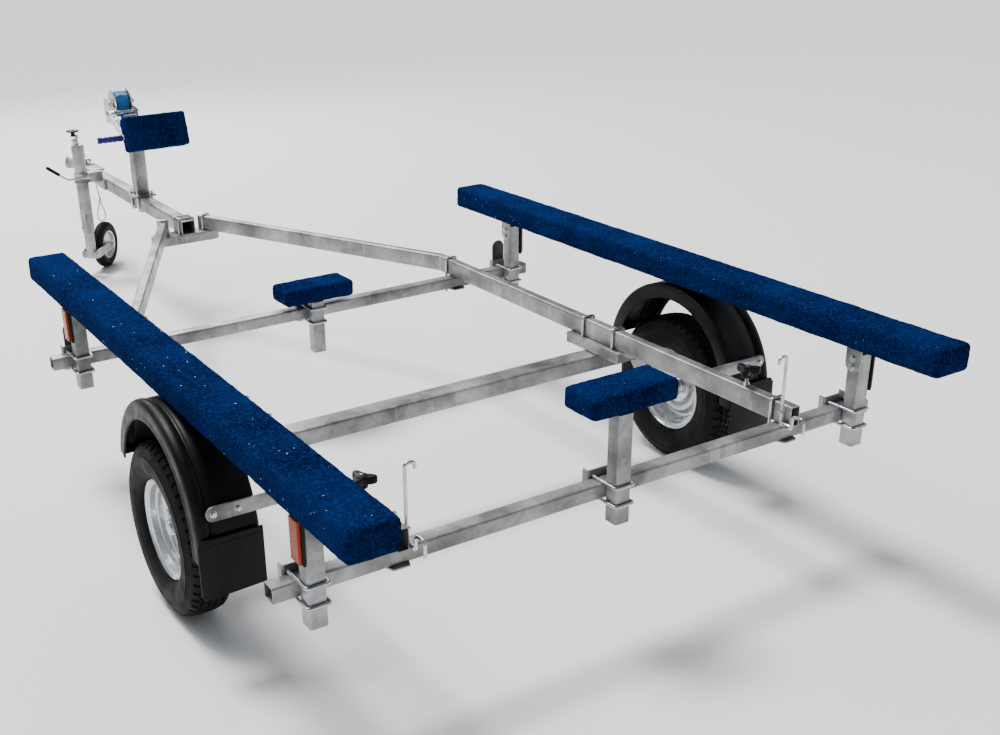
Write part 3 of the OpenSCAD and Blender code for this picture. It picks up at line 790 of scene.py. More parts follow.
@dataclass(frozen=True)
class Carpet:
    """Short needled carpet: matted navy fibres with paler and darker tufts."""

    name: str = "carpet"
    deep: tuple = (0.0004, 0.0012, 0.006)
    mid: tuple = (0.0006, 0.0070, 0.046)
    light: tuple = (0.002, 0.034, 0.185)
    tuft: float = 480.0

    def make(self) -> bpy.types.Material:
        """Build the material.

        Returns:
            The finished material.
        """
        p = Paint(self.name).set(Roughness=1.0, Specular_IOR_Level=0.02)
        fibres = p.node("TexNoise", Vector=p.place, Scale=self.tuft, Detail=5.0, Roughness=0.75)
        clumps = p.node("TexNoise", Vector=p.place, Scale=self.tuft * 0.28, Detail=3.0,
                        Roughness=0.6)
        both = p.node("Math", {"operation": "ADD"})
        p.tree.links.new(fibres.outputs["Fac"], both.inputs[0])
        p.tree.links.new(clumps.outputs["Fac"], both.inputs[1])
        half = p.node("Math", {"operation": "MULTIPLY"})
        p.tree.links.new(both.outputs["Value"], half.inputs[0])
        half.inputs[1].default_value = 0.5
        base = p.ramp(half.outputs["Value"], [(0.38, self.deep), (0.50, self.mid),
                (0.62, self.light)])
        patch = p.shared(Effects.clouds(), Vector=p.place, Scale=6.0, Detail=5.0, From=0.35, To=0.7,
                         Low=0.0, High=0.35)
        worn = p.mix(patch.outputs["Value"], base, (*self.light, 1))
        lint = p.shared(Effects.clouds(), Vector=p.place, Scale=420.0, Detail=1.0, From=0.765,
                        To=0.80, Low=0.0, High=0.5)
        p.into("Base Color", p.mix(lint.outputs["Value"], worn, (0.16, 0.28, 0.50, 1)))
        bump = p.node("Bump", Height=half.outputs["Value"], Strength=1.0, Distance=0.009)
        p.into("Normal", bump.outputs["Normal"])
        return p.material


@dataclass(frozen=True)
class MouldedBlack:
    """Black moulded plastic with a fine grain, scuffs and a little dust."""

    name: str = "moulded_black"
    colour: tuple = (0.0028, 0.0028, 0.0031)
    scuffed: tuple = (0.0095, 0.0095, 0.010)
    roughness: tuple = (0.34, 0.55)
    grain: float = 700.0

    def make(self) -> bpy.types.Material:
        """Build the material.

        Returns:
            The finished material.
        """
        p = Paint(self.name).set(Specular_IOR_Level=0.16)
        scuff = p.shared(Effects.clouds(), Vector=p.place, Scale=11.0, Detail=8.0, From=0.5,
                         To=0.75, Low=0.0, High=0.7)
        p.into("Base Color", p.mix(scuff.outputs["Value"], (*self.colour, 1), (*self.scuffed, 1)))
        rough = p.shared(Effects.clouds(), Vector=p.place, Scale=22.0, Detail=5.0, From=0.3, To=0.7,
                         Low=self.roughness[0], High=self.roughness[1])
        p.into("Roughness", rough.outputs["Value"])
        p.into("Normal", p.shared(Effects.grain(), Vector=p.place, Scale=self.grain, Strength=0.2,
                                  Height=0.0004).outputs["Normal"])
        return p.material


@dataclass(frozen=True)
class Rubber(MouldedBlack):
    """Tyre rubber: deep grey-black, with dust lying in it."""

    name: str = "rubber"
    colour: tuple = (0.0030, 0.0030, 0.0032)
    scuffed: tuple = (0.012, 0.0115, 0.011)
    roughness: tuple = (0.55, 0.80)
    grain: float = 900.0


@dataclass(frozen=True)
class GreyPlate(MouldedBlack):
    """Dark grey painted plate."""

    name: str = "grey_plate"
    colour: tuple = (0.055, 0.058, 0.065)
    scuffed: tuple = (0.13, 0.135, 0.145)
    roughness: tuple = (0.35, 0.6)


@dataclass(frozen=True)
class Lens:
    """Amber prismatic reflector, its prism facets painted with light: brighter in their middles,
    darker at their edges.
    """

    name: str = "amber_lens"
    colour: tuple = (0.42, 0.045, 0.002)
    # deep: painted shade at the edges of the prism facets
    deep: tuple = (0.22, 0.025, 0.002)
    prism: float = 190.0

    def make(self) -> bpy.types.Material:
        """Build the material.

        Returns:
            The finished material.
        """
        p = Paint(self.name).set(Roughness=0.22, Coat_Weight=0.08, Coat_Roughness=0.1,
                                 Specular_IOR_Level=0.15)
        cells = p.node("TexVoronoi", {"feature": "DISTANCE_TO_EDGE"}, Vector=p.place,
                       Scale=self.prism)
        # painted light: each facet's middle is painted a brighter orange and its edges a darker
        # amber, standing in for the light the prisms throw back; the amber itself is the lens's own
        # colour
        colour = p.ramp(cells.outputs["Distance"], [(0.0, self.deep), (0.25, self.colour),
                                                    (0.6, (0.60, 0.10, 0.005))])
        p.into("Base Color", colour)
        bump = p.node("Bump", Height=cells.outputs["Distance"], Strength=0.6, Distance=0.002)
        p.into("Normal", bump.outputs["Normal"])
        return p.material


@dataclass(frozen=True)
class WheelPaint:
    """Silver wheel paint with a light orange peel and brake-dust shading."""

    name: str = "wheel_silver"
    colour: tuple = (0.60, 0.62, 0.64)
    dirty: tuple = (0.32, 0.32, 0.32)

    def make(self) -> bpy.types.Material:
        """Build the material.

        Returns:
            The finished material.
        """
        p = Paint(self.name).set(Metallic=0.75, Coat_Weight=0.35, Coat_Roughness=0.12)
        dirt = p.shared(Effects.clouds(), Vector=p.place, Scale=14.0, Detail=7.0, From=0.5, To=0.8,
                        Low=0.0, High=0.75)
        p.into("Base Color", p.mix(dirt.outputs["Value"], (*self.colour, 1), (*self.dirty, 1)))
        rough = p.shared(Effects.clouds(), Vector=p.place, Scale=35.0, Detail=3.0, Low=0.22,
                         High=0.42)
        p.into("Roughness", rough.outputs["Value"])
        p.into("Normal", p.shared(Effects.grain(), Vector=p.place, Scale=180.0, Strength=0.1,
                                  Height=0.0004).outputs["Normal"])
        return p.material


@dataclass(frozen=True)
class Webbing:
    """Woven polyester strap with a herringbone rib across its width, with painted shade in the
    grooves between the ribs.
    """

    name: str = "webbing"
    colour: tuple = (0.002, 0.24, 0.62)
    # shade: painted shade for the grooves between the ribs
    shade: tuple = (0.001, 0.08, 0.30)
    rib: float = 420.0

    def make(self) -> bpy.types.Material:
        """Build the material.

        Returns:
            The finished material.
        """
        p = Paint(self.name).set(Roughness=0.7, Sheen_Weight=0.05, Sheen_Roughness=0.4)
        waves = p.node("TexWave", {"wave_type": "BANDS", "bands_direction": "X"}, Vector=p.place,
                       Scale=self.rib, Distortion=1.5, Detail=2.0)
        # painted shade: the strap is painted darker where the rib bump is low, in the grooves
        # between the ribs
        p.into("Base Color", p.mix(waves.outputs["Fac"], (*self.shade, 1), (*self.colour, 1)))
        bump = p.node("Bump", Height=waves.outputs["Fac"], Strength=0.5, Distance=0.0008)
        p.into("Normal", bump.outputs["Normal"])
        return p.material


@dataclass(frozen=True)
class GripPlastic(MouldedBlack):
    """Glossy dark violet-blue handle plastic."""

    name: str = "grip_plastic"
    colour: tuple = (0.012, 0.010, 0.12)
    scuffed: tuple = (0.05, 0.045, 0.22)
    roughness: tuple = (0.16, 0.32)


class Finishes:
    """Every finish by its material slot."""

    kinds = {
        Slot.GALVANISED: Galvanised(), Slot.ZINC: BrightZinc(), Slot.CARPET: Carpet(),
        Slot.BLACK: MouldedBlack(), Slot.AMBER: Lens(), Slot.GREY: GreyPlate(), Slot.TYRE: Rubber(),
        Slot.RIM: WheelPaint(), Slot.STRAP: Webbing(), Slot.GRIP: GripPlastic(),
        Slot.CABLE: BrightZinc(name="cable_steel", colour=(0.42, 0.42, 0.42), roughness=(0.3, 0.5)),
    }

    def __init__(self) -> None:
        """Build each material once."""
        self.materials = {slot: kind.make() for slot, kind in self.kinds.items()}

    def dress(self, obj: Piece, slot: Slot, body: str, *nodes: str) -> Piece:
        """Give a finished piece its material, body and the CAD nodes it stands for.

        Args:
            obj: finished piece, at rest.
            slot: material slot.
            body: CAD body that it rides on.
            nodes: CAD nodes that it replaces.

        Returns:
            The piece.
        """
        obj.data.materials.clear()
        obj.data.materials.append(self.materials[slot])
        Bench.settle(obj)
        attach(obj, body)
        if nodes:
            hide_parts(*nodes)
        LOG.info("%s: %d faces", obj.name, len(obj.data.polygons))
        return obj


@dataclass
class Hardware:
    """Bolts, nuts and U-bolts, each modelled once and copied."""

    rod: float = 9.0
    nut_d: float = 17.0
    nut_h: float = 7.0
    pitch: float = 1.75

    def thread(self, name: str, start: Point, end: Point, d: float) -> Piece:
        """A threaded end: a turned bar with a groove at each pitch.

        Args:
            name: name of the finished object.
            start: where it starts, in millimetres.
            end: where it ends, in millimetres.
            d: diameter, in millimetres.

        Returns:
            The threaded rod.
        """
        length = math.dist(start, end)
        turns = max(3, int(length / self.pitch))
        step = length / turns
        profile = [(d / 2 - 0.6, 0.0)]
        for i in range(turns):
            profile += [(d / 2, (i + 0.5) * step), (d / 2 - 0.7, (i + 1) * step)]
        axis = Vector(end) - Vector(start)
        return Bench.lathe(name, profile, start, tuple(axis), 12, smooth=20.0)

    def nut(self, name: str, base: Point, axis: Point, d: Optional[float] = None,
            h: Optional[float] = None, washer: bool = True) -> Piece:
        """A hexagon nut with chamfered corners, standing on a round washer.

        Args:
            name: object name.
            base: middle of the face that the nut bears on.
            axis: direction that the nut stands in.
            d: width across its corners, in millimetres.
            h: height, in millimetres.
            washer: whether a washer lies under it.

        Returns:
            The nut.
        """
        d, h = d or self.nut_d, h or self.nut_h
        way = Vector(axis).normalized()
        foot = Vector(base)
        parts = []
        if washer:
            parts.append(Bench.lathe("washer", [(d * 0.28, 0), (d * 0.58, 0), (d * 0.61, 0.4),
                                                (d * 0.61, 1.3), (d * 0.58, 1.6), (d * 0.28, 1.6)],
                                     base, axis, 24))
            foot = foot + way * 1.6
        body = Bench.lathe("nut", [(d * 0.44, 0), (d * 0.5, h * 0.12), (d * 0.5, h * 0.85),
                                   (d * 0.42, h), (d * 0.25, h)], tuple(foot), axis, 6, smooth=25.0)
        Bench.soften(body, 0.35, 1)
        parts.append(body)
        return Bench.join(name, parts)

    def bolt(self, name: str, base: Point, axis: Point, d: float = 8.0, tail: float = 0.0
             ) -> Piece:
        """A bolt head on its washer, with a threaded tail behind it when tail is given.

        Args:
            name: name of the finished object.
            base: place of the head's seat, in millimetres.
            axis: way it points.
            d: diameter, in millimetres.
            tail: length of shank beyond the seat, in millimetres.

        Returns:
            The bolt.
        """
        head = self.nut("head", base, axis, d * 2.0, d * 0.7)
        parts = [head]
        if tail > 0:
            way = Vector(axis).normalized()
            end = Vector(base) - way * tail
            parts.append(self.thread("tail", tuple(Vector(base)), tuple(end), d))
        return Bench.join(name, parts)

    def ubolt(self, name: str, w: float, h: float, tail: float, seat: float) -> Piece:
        """A U-bolt at the frame's origin, over a tube w wide and h high.

        Args:
            name: object name.
            w: width of the tube, in millimetres.
            h: height of the tube above its seat.
            tail: length of the legs below the seat.
            seat: depth of the nuts' bearing face below the seat.

        Returns:
            The U-bolt in a local frame whose origin is the middle of the seat, legs along -Z.
        """
        r = w / 2 + self.rod / 2 + 0.8
        top = h + self.rod / 2 + 0.6
        y0 = -Yard.axle_y / MM
        grip = min(seat + self.nut_h + 14, tail - 2)
        bow = Bench.bar("bow", [(-r, y0, -seat + 1), (-r, y0, top), (r, y0, top),
                                (r, y0, -seat + 1)], self.rod, 7.5, 14, 5)
        parts = [bow]
        for side in (-1, 1):
            parts.append(self.thread("leg", (side * r, y0, -seat + 2),
                                     (side * r, y0, -max(grip, tail)), self.rod - 0.4))
            parts.append(self.nut("nut", (side * r, y0, -seat), (0, 0, -1)))
        return Bench.join(name, parts)


@dataclass
class Chassis:
    """Rails, drawbar and crossbeams of square tube."""

    finishes: Finishes
    corner: float = 6.0
    wall: float = 3.0
    rail_w: float = 34.0
    rail_h: float = 60.0
    rail_x: float = 612.0
    rail_rear: float = -745.0
    rail_z: float = 431.0
    bend_y: float = 1060.0
    bend_r: float = 137.0
    front_x: float = 84.0
    front_y: float = 2215.0
    drawbar_w: float = 60.0
    beam_w: float = 45.0
    beam_h: float = 41.0
    post_w: float = 45.0
    post_x: float = 840.0

    @property
    def bend_angle(self) -> float:
        """Angle of the rails' bend."""
        return math.atan((self.rail_x - self.front_x) / (self.front_y - self.bend_y))

    def section(self, name: str, centre: Point, along: Point, across: Point, w: float, h: float,
                corner: Optional[float] = None) -> Piece:
        """The rounded outline of a tube's end, as a ring of edges.

        Args:
            name: object name.
            centre: middle of the outline.
            along: direction of the tube.
            across: direction of the outline's width.
            w: width.
            h: height.
            corner: outside radius of the corners.

        Returns:
            An object with one rounded ring.
        """
        Bench.clear()
        bpy.ops.mesh.primitive_plane_add(size=1)
        obj = bpy.context.object
        obj.name = name
        obj.scale = (w * MM, h * MM, 1)
        Bench.settle(obj)
        Bench.pick(obj, Pick.VERT, lambda v: True)
        bpy.ops.mesh.bevel(offset=(corner or self.corner) * MM, segments=4, affect="VERTICES")
        bpy.ops.mesh.select_all(action="SELECT")
        bpy.ops.mesh.delete(type="ONLY_FACE")
        bpy.ops.object.mode_set(mode="OBJECT")
        z = Vector(along).normalized()
        x = Vector(across).normalized()
        turn = Matrix((x, z.cross(x), z)).transposed().to_4x4()
        obj.matrix_world = Matrix.Translation(Yard.at(*centre)) @ turn
        return Bench.settle(obj)

    def hollow(self, obj: Piece, wall: Optional[float] = None) -> Piece:
        """Give an open tube skin its wall, shaded smooth.

        Args:
            obj: mesh object to work on.
            wall: thickness of the wall, in millimetres.

        Returns:
            The hollow object.
        """
        Bench.recalculate(obj)
        Bench.modify(obj, "SOLIDIFY", thickness=(wall or self.wall) * MM, offset=-1, use_rim=True)
        Bench.focus(obj)
        bpy.ops.object.shade_smooth_by_angle(angle=math.radians(40))
        return obj

    def tube(self, name: str, start: Point, end: Point, across: Point, w: float, h: float,
             wall: Optional[float] = None, corner: Optional[float] = None) -> Piece:
        """A straight hollow tube between two points.

        Args:
            name: object name.
            start: middle of one end.
            end: middle of the other end.
            across: direction of the width.
            w: width.
            h: height.
            wall: wall thickness.
            corner: outside radius of the corners.

        Returns:
            The tube.
        """
        along = Vector(end) - Vector(start)
        obj = self.section(name, start, tuple(along), across, w, h, corner)
        Bench.pick(obj, Pick.EDGE, lambda e: True)
        bpy.ops.mesh.extrude_edges_move(TRANSFORM_OT_translate={"value": along * MM})
        bpy.ops.object.mode_set(mode="OBJECT")
        return self.hollow(obj, wall)

    def rail(self, name: str) -> Piece:
        """The right rail: straight, bent inwards, and straight again to the drawbar.

        Args:
            name: name of the finished object.

        Returns:
            The rail.
        """
        a = self.bend_angle
        z = self.rail_z + 0.3 + self.rail_h / 2
        reach = self.bend_r * math.tan(a / 2)
        stop = self.bend_y - reach
        obj = self.section(name, (self.rail_x, self.rail_rear, z), (0, 1, 0), (1, 0, 0),
                           self.rail_w, self.rail_h)
        Bench.pick(obj, Pick.EDGE, lambda e: True)
        bpy.ops.mesh.extrude_edges_move(
            TRANSFORM_OT_translate={"value": (0, (stop - self.rail_rear) * MM, 0)})
        Bench.swing(14, a, Yard.at(self.rail_x - self.bend_r, stop, z), (0, 0, 1))
        rest = (self.front_y - self.bend_y) / math.cos(a) - reach
        bpy.ops.mesh.extrude_edges_move(TRANSFORM_OT_translate={"value": (-math.sin(a) * rest * MM,
                math.cos(a) * rest * MM, 0)})
        bpy.ops.object.mode_set(mode="OBJECT")
        return self.hollow(obj)

    def beam(self, name: str, node: str, node_side: float = 926.0) -> Piece:
        """One crossbeam, open at both ends.

        Args:
            name: name of the finished object.
            node: name of the CAD node it stands for.
            node_side: side of the rail it sits on.

        Returns:
            The crossbeam.
        """
        low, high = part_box(node)
        y = ((low.y + high.y) / 2 - Yard.axle_y) / MM
        z = (low.z + high.z) / 2 / MM
        return self.tube(name, (-node_side, y, z), (node_side, y, z), (0, 1, 0), self.beam_w,
                         self.beam_h)

    def posts(self, name: str, node: str, centre_bottom: float) -> Piece:
        """Three posts in one piece's name: two outer ones and the centre one.

        Args:
            name: name of the finished set.
            node: name of the CAD node it stands for.
            centre_bottom: height where the middle post ends, in millimetres.

        Returns:
            The set of posts.
        """
        low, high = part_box(node)
        y = ((low.y + high.y) / 2 - Yard.axle_y) / MM
        top = high.z / MM
        tall = []
        outer_top = 600.0
        centre_top = top if top > outer_top + 1 else 459.7
        for x, z0, z1 in ((-self.post_x, 328, outer_top), (self.post_x, 328, outer_top),
                          (0, centre_bottom, centre_top)):
            tall.append(self.tube("post", (x, y, z0), (x, y, z1), (1, 0, 0), self.post_w,
                                  self.post_w))
        return Bench.join(name, tall)

    def build(self) -> None:
        """Build and dress the rails, drawbar, beams and posts."""
        dress = self.finishes.dress
        mid = self.rail_z + 0.3 + self.drawbar_w / 2
        dress(self.tube("drawbar_tube", (0, 2140, mid), (0, 3520, mid), (1, 0, 0), self.drawbar_w,
                        self.drawbar_w, corner=8.0), Slot.GALVANISED, "frame", "drawbar")
        dress(Bench.both_sides("side_rails", self.rail("rail")), Slot.GALVANISED, "frame", "rails")
        for end in ("front", "rear"):
            dress(self.beam(f"crossbeam_{end}", f"beam_{end}"), Slot.GALVANISED, "frame",
                  f"beam_{end}")
        dress(self.posts("posts_front_set", "posts_front", 274), Slot.GALVANISED, "frame",
              "posts_front")
        dress(self.posts("posts_rear_set", "posts_rear", 332), Slot.GALVANISED, "frame",
              "posts_rear")


@dataclass
class Clamps:
    """U-bolts, channels and plates that hold the frame together."""

    finishes: Finishes
    chassis: Chassis
    hardware: Hardware = field(default_factory=Hardware)
    plate: float = 5.7

    def place(self, x: float, y: float, z: float, turn: Matrix = Matrix.Identity(4)) -> Matrix:
        """Matrix that takes a U-bolt from the frame's origin to a seat."""
        return Matrix.Translation(Yard.at(x, y, z)) @ turn

    def rail_clamps(self) -> None:
        """U-bolts over the rails, with tapered plates under the crossbeams."""
        c = self.chassis
        seats = []
        plates = []
        outline = [(40, -12), (40, 14), (22, 61), (-22, 61), (-40, 14), (-40, -12)]
        for end in ("front", "rear"):
            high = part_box(f"beam_{end}")[1]
            y = (high.y - Yard.axle_y) / MM + self.hardware.rod / 2 + 0.5
            for side in (-1, 1):
                seats.append(self.place(side * c.rail_x, y, c.rail_z))
                flat = Matrix.Translation(Yard.at(side * c.rail_x, y,
                                                  c.rail_z - c.beam_h
                                                  - 0.3)) @ Matrix.Rotation(math.pi, 4, "X")
                plates.append(Bench.plate("plate", outline, self.plate, flat, 1.5))
        bolt = self.hardware.ubolt("ubolt", c.rail_w, c.rail_h, c.beam_h + 24, c.beam_h + 6)
        bolts = Bench.spread("rail_ubolts", bolt, seats)
        self.finishes.dress(bolts, Slot.ZINC, "frame", "rail_clamps")
        self.finishes.dress(Bench.join("beam_plates", plates), Slot.GALVANISED, "frame")

    def channel(self, x: float, y: float, low: float, high: float) -> Piece:
        """A pressed channel in front of a post's crossbeam, open forwards.

        Args:
            x: place across, in millimetres.
            y: place along, in millimetres.
            low: height of its lower end, in millimetres.
            high: height of its upper end, in millimetres.

        Returns:
            The channel.
        """
        obj = Bench.box("channel", (x - 42, y, low), (x + 42, y + 22, high), 0)
        Bench.pick(obj, Pick.FACE, lambda f: f.normal.y > 0.9 or abs(f.normal.z) > 0.9)
        bpy.ops.mesh.delete(type="FACE")
        bpy.ops.object.mode_set(mode="OBJECT")
        Bench.pick(obj, Pick.EDGE, lambda e: not e.is_boundary)
        bpy.ops.mesh.bevel(offset=7 * MM, segments=5, affect="EDGES")
        bpy.ops.object.mode_set(mode="OBJECT")
        Bench.recalculate(obj)
        Bench.modify(obj, "SOLIDIFY", thickness=5 * MM, offset=-1, use_even_offset=True)
        Bench.recalculate(obj)
        return Bench.soften(obj, 0.9, 2, 50)

    def post_clamps(self, end: str) -> None:
        """Two level U-bolts round each post, with a channel in front of the beam.

        Args:
            end: "front" or "rear".
        """
        c = self.chassis
        yf = (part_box(f"beam_{end}")[1].y - Yard.axle_y) / MM + 0.3
        heights = (c.rail_z + 5.0, c.rail_z - c.beam_h - 5.0)
        bolt = self.hardware.ubolt("ubolt", c.post_w, c.post_w + c.beam_w + 0.3, 22, 5)
        tip = Matrix.Rotation(math.pi / 2, 4, "X")
        seats = [self.place(s * c.post_x, yf, z, tip) for s in (-1, 0, 1) for z in heights]
        bolts = Bench.spread(f"post_ubolts_{end}", bolt, seats)
        self.finishes.dress(bolts, Slot.ZINC, "frame", f"post_clamps_{end}")
        channels = [self.channel(s * c.post_x, yf, heights[1] - 15, heights[0] + 15)
                    for s in (-1, 0, 1)]
        self.finishes.dress(Bench.join(f"post_channels_{end}", channels), Slot.GALVANISED, "frame")

    def junction(self) -> None:
        """Round-ended channel under the front of the rails, with its five U-bolts."""
        c = self.chassis
        w, half, deep, y = 88.0, 108.0, 40.0, 2148.0
        outline = []
        for side in (1, -1):
            outline += [(side * half + side * w / 2 * math.sin(a),
                         w / 2 - side * w / 2 * math.cos(a))
                        for a in (math.pi * i / 16 for i in range(17))]
        pan = Bench.plate("junction_channel", outline, deep,
                          Matrix.Translation(Yard.at(0, y, c.rail_z - deep)), 0)
        Bench.pick(pan, Pick.FACE, lambda f: f.normal.z < -0.9)
        bpy.ops.mesh.delete(type="FACE")
        bpy.ops.object.mode_set(mode="OBJECT")
        Bench.pick(pan, Pick.EDGE, lambda e: not e.is_boundary
                   and any(abs(f.normal.z) > 0.9 for f in e.link_faces)
                   and any(abs(f.normal.z) < 0.1 for f in e.link_faces))
        bpy.ops.mesh.bevel(offset=6 * MM, segments=4, affect="EDGES")
        bpy.ops.object.mode_set(mode="OBJECT")
        Bench.recalculate(pan)
        Bench.modify(pan, "SOLIDIFY", thickness=4.5 * MM, offset=-1, use_even_offset=True)
        Bench.soften(pan, 0.8, 2, 60)
        self.finishes.dress(pan, Slot.GALVANISED, "frame", "junction")
        over = self.hardware.ubolt("ubolt", c.drawbar_w, c.drawbar_w, 20, 5)
        bolts = [Bench.spread("bar_bolts", over, [self.place(0, y + d, c.rail_z)
                for d in (20, 44, 68)])]
        a = c.bend_angle
        slim = self.hardware.ubolt("ubolt", c.rail_w, c.rail_h, 20, 5)
        spots = [self.place(s * (c.front_x + 28 * math.tan(a)), c.front_y - 28, c.rail_z,
                            Matrix.Rotation(s * a, 4, "Z")) for s in (-1, 1)]
        bolts.append(Bench.spread("rail_bolts", slim, spots))
        self.finishes.dress(Bench.join("junction_ubolts", bolts), Slot.ZINC, "frame")

    def brackets(self) -> None:
        """Angles that carry the bunks, bolted to the outer posts."""
        c = self.chassis
        xi = c.post_x - c.post_w / 2 - 0.3
        z1 = 626.7
        angles = []
        bolts = []
        for end in ("front", "rear"):
            y = (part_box(f"posts_{end}")[0].y - Yard.axle_y) / MM
            tab = [(y - 3, 572)] + [(y + 22.5 - 25.5 * math.cos(t), 572 - 25.5 * math.sin(t))
                                    for t in (math.pi * i / 14 for i in range(1, 14))] + \
                  [(y + 48, 572), (y + 48, z1), (y - 3, z1)]
            upright = Bench.plate("tab", tab, 5, Matrix.Translation(
                Yard.at(xi - 5, 0, 0)) @ UPRIGHT, 1.0)
            shelf = Bench.box("shelf", (xi - 5, y - 3, z1 - 5), (xi + 52, y + 48, z1), 1.0)
            angles += [upright, shelf]
            bolts += [self.hardware.bolt("bolt", (xi - 5, y + 22.5, z), (-1, 0, 0), 8.5)
                      for z in (588, 562)]
        steel = Bench.both_sides("bunk_angles", Bench.join("angles", angles))
        self.finishes.dress(steel, Slot.GALVANISED, "frame", "bunk_brackets")
        self.finishes.dress(Bench.both_sides("bunk_bolts", Bench.join("bolts", bolts)), Slot.ZINC,
                            "frame")

    def build(self) -> None:
        """Build every clamp."""
        self.rail_clamps()
        for end in ("front", "rear"):
            self.post_clamps(end)
        self.junction()
        self.brackets()


@dataclass
class Underbody:
    """Axle beam, its saddles, the trailing arms and the mudguard stays."""

    finishes: Finishes
    chassis: Chassis
    hardware: Hardware = field(default_factory=Hardware)
    axle_y: float = 100.0
    wheel_z: float = 243.0

    def axle(self) -> None:
        """Hollow axle beam."""
        low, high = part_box("axle_beam")
        z = (low.z + high.z) / 2 / MM
        half = high.x / MM
        beam = self.chassis.tube("axle_tube", (-half, self.axle_y, z), (half, self.axle_y, z),
                                 (0, 1, 0), 70, 52, wall=5.0, corner=7.0)
        self.finishes.dress(beam, Slot.GALVANISED, "frame", "axle_beam")

    def saddles(self) -> None:
        """Channels between axle and rails, with their U-bolts."""
        c = self.chassis
        steel = Bench.dressed("axle_channels", "axle_saddles", 1.0)
        Bench.pick(steel, Pick.FACE, lambda f: True)
        bpy.ops.mesh.bisect(plane_co=(0, 0, (c.rail_z + 0.2) * MM), plane_no=(0, 0, 1),
                            use_fill=True, clear_outer=True)
        bpy.ops.object.mode_set(mode="OBJECT")
        self.finishes.dress(steel, Slot.GALVANISED, "frame", "axle_saddles")
        over = self.hardware.ubolt("ubolt", c.rail_w, c.rail_h, 22, 5)
        seats = [Matrix.Translation(Yard.at(s * c.rail_x, y, c.rail_z)) for s in (-1, 1)
                 for y in (self.axle_y - 98, self.axle_y + 52)]
        self.finishes.dress(Bench.spread("saddle_ubolts", over, seats), Slot.ZINC, "frame")

    def arms(self) -> None:
        """Forged trailing arms with their stub axles."""
        self.finishes.dress(Bench.dressed("trailing_arms", "axle_arms", 2.5, 3), Slot.GALVANISED,
                            "frame", "axle_arms")

    def stays(self) -> None:
        """Flat bars from the rails to the mudguards, with two bolts each."""
        self.finishes.dress(Bench.dressed("guard_bars", "guard_stays", 0.9), Slot.GALVANISED,
                            "frame", "guard_stays")

    def build(self) -> None:
        """Build the running gear that doesn't turn."""
        self.axle()
        self.saddles()
        self.arms()
        self.stays()


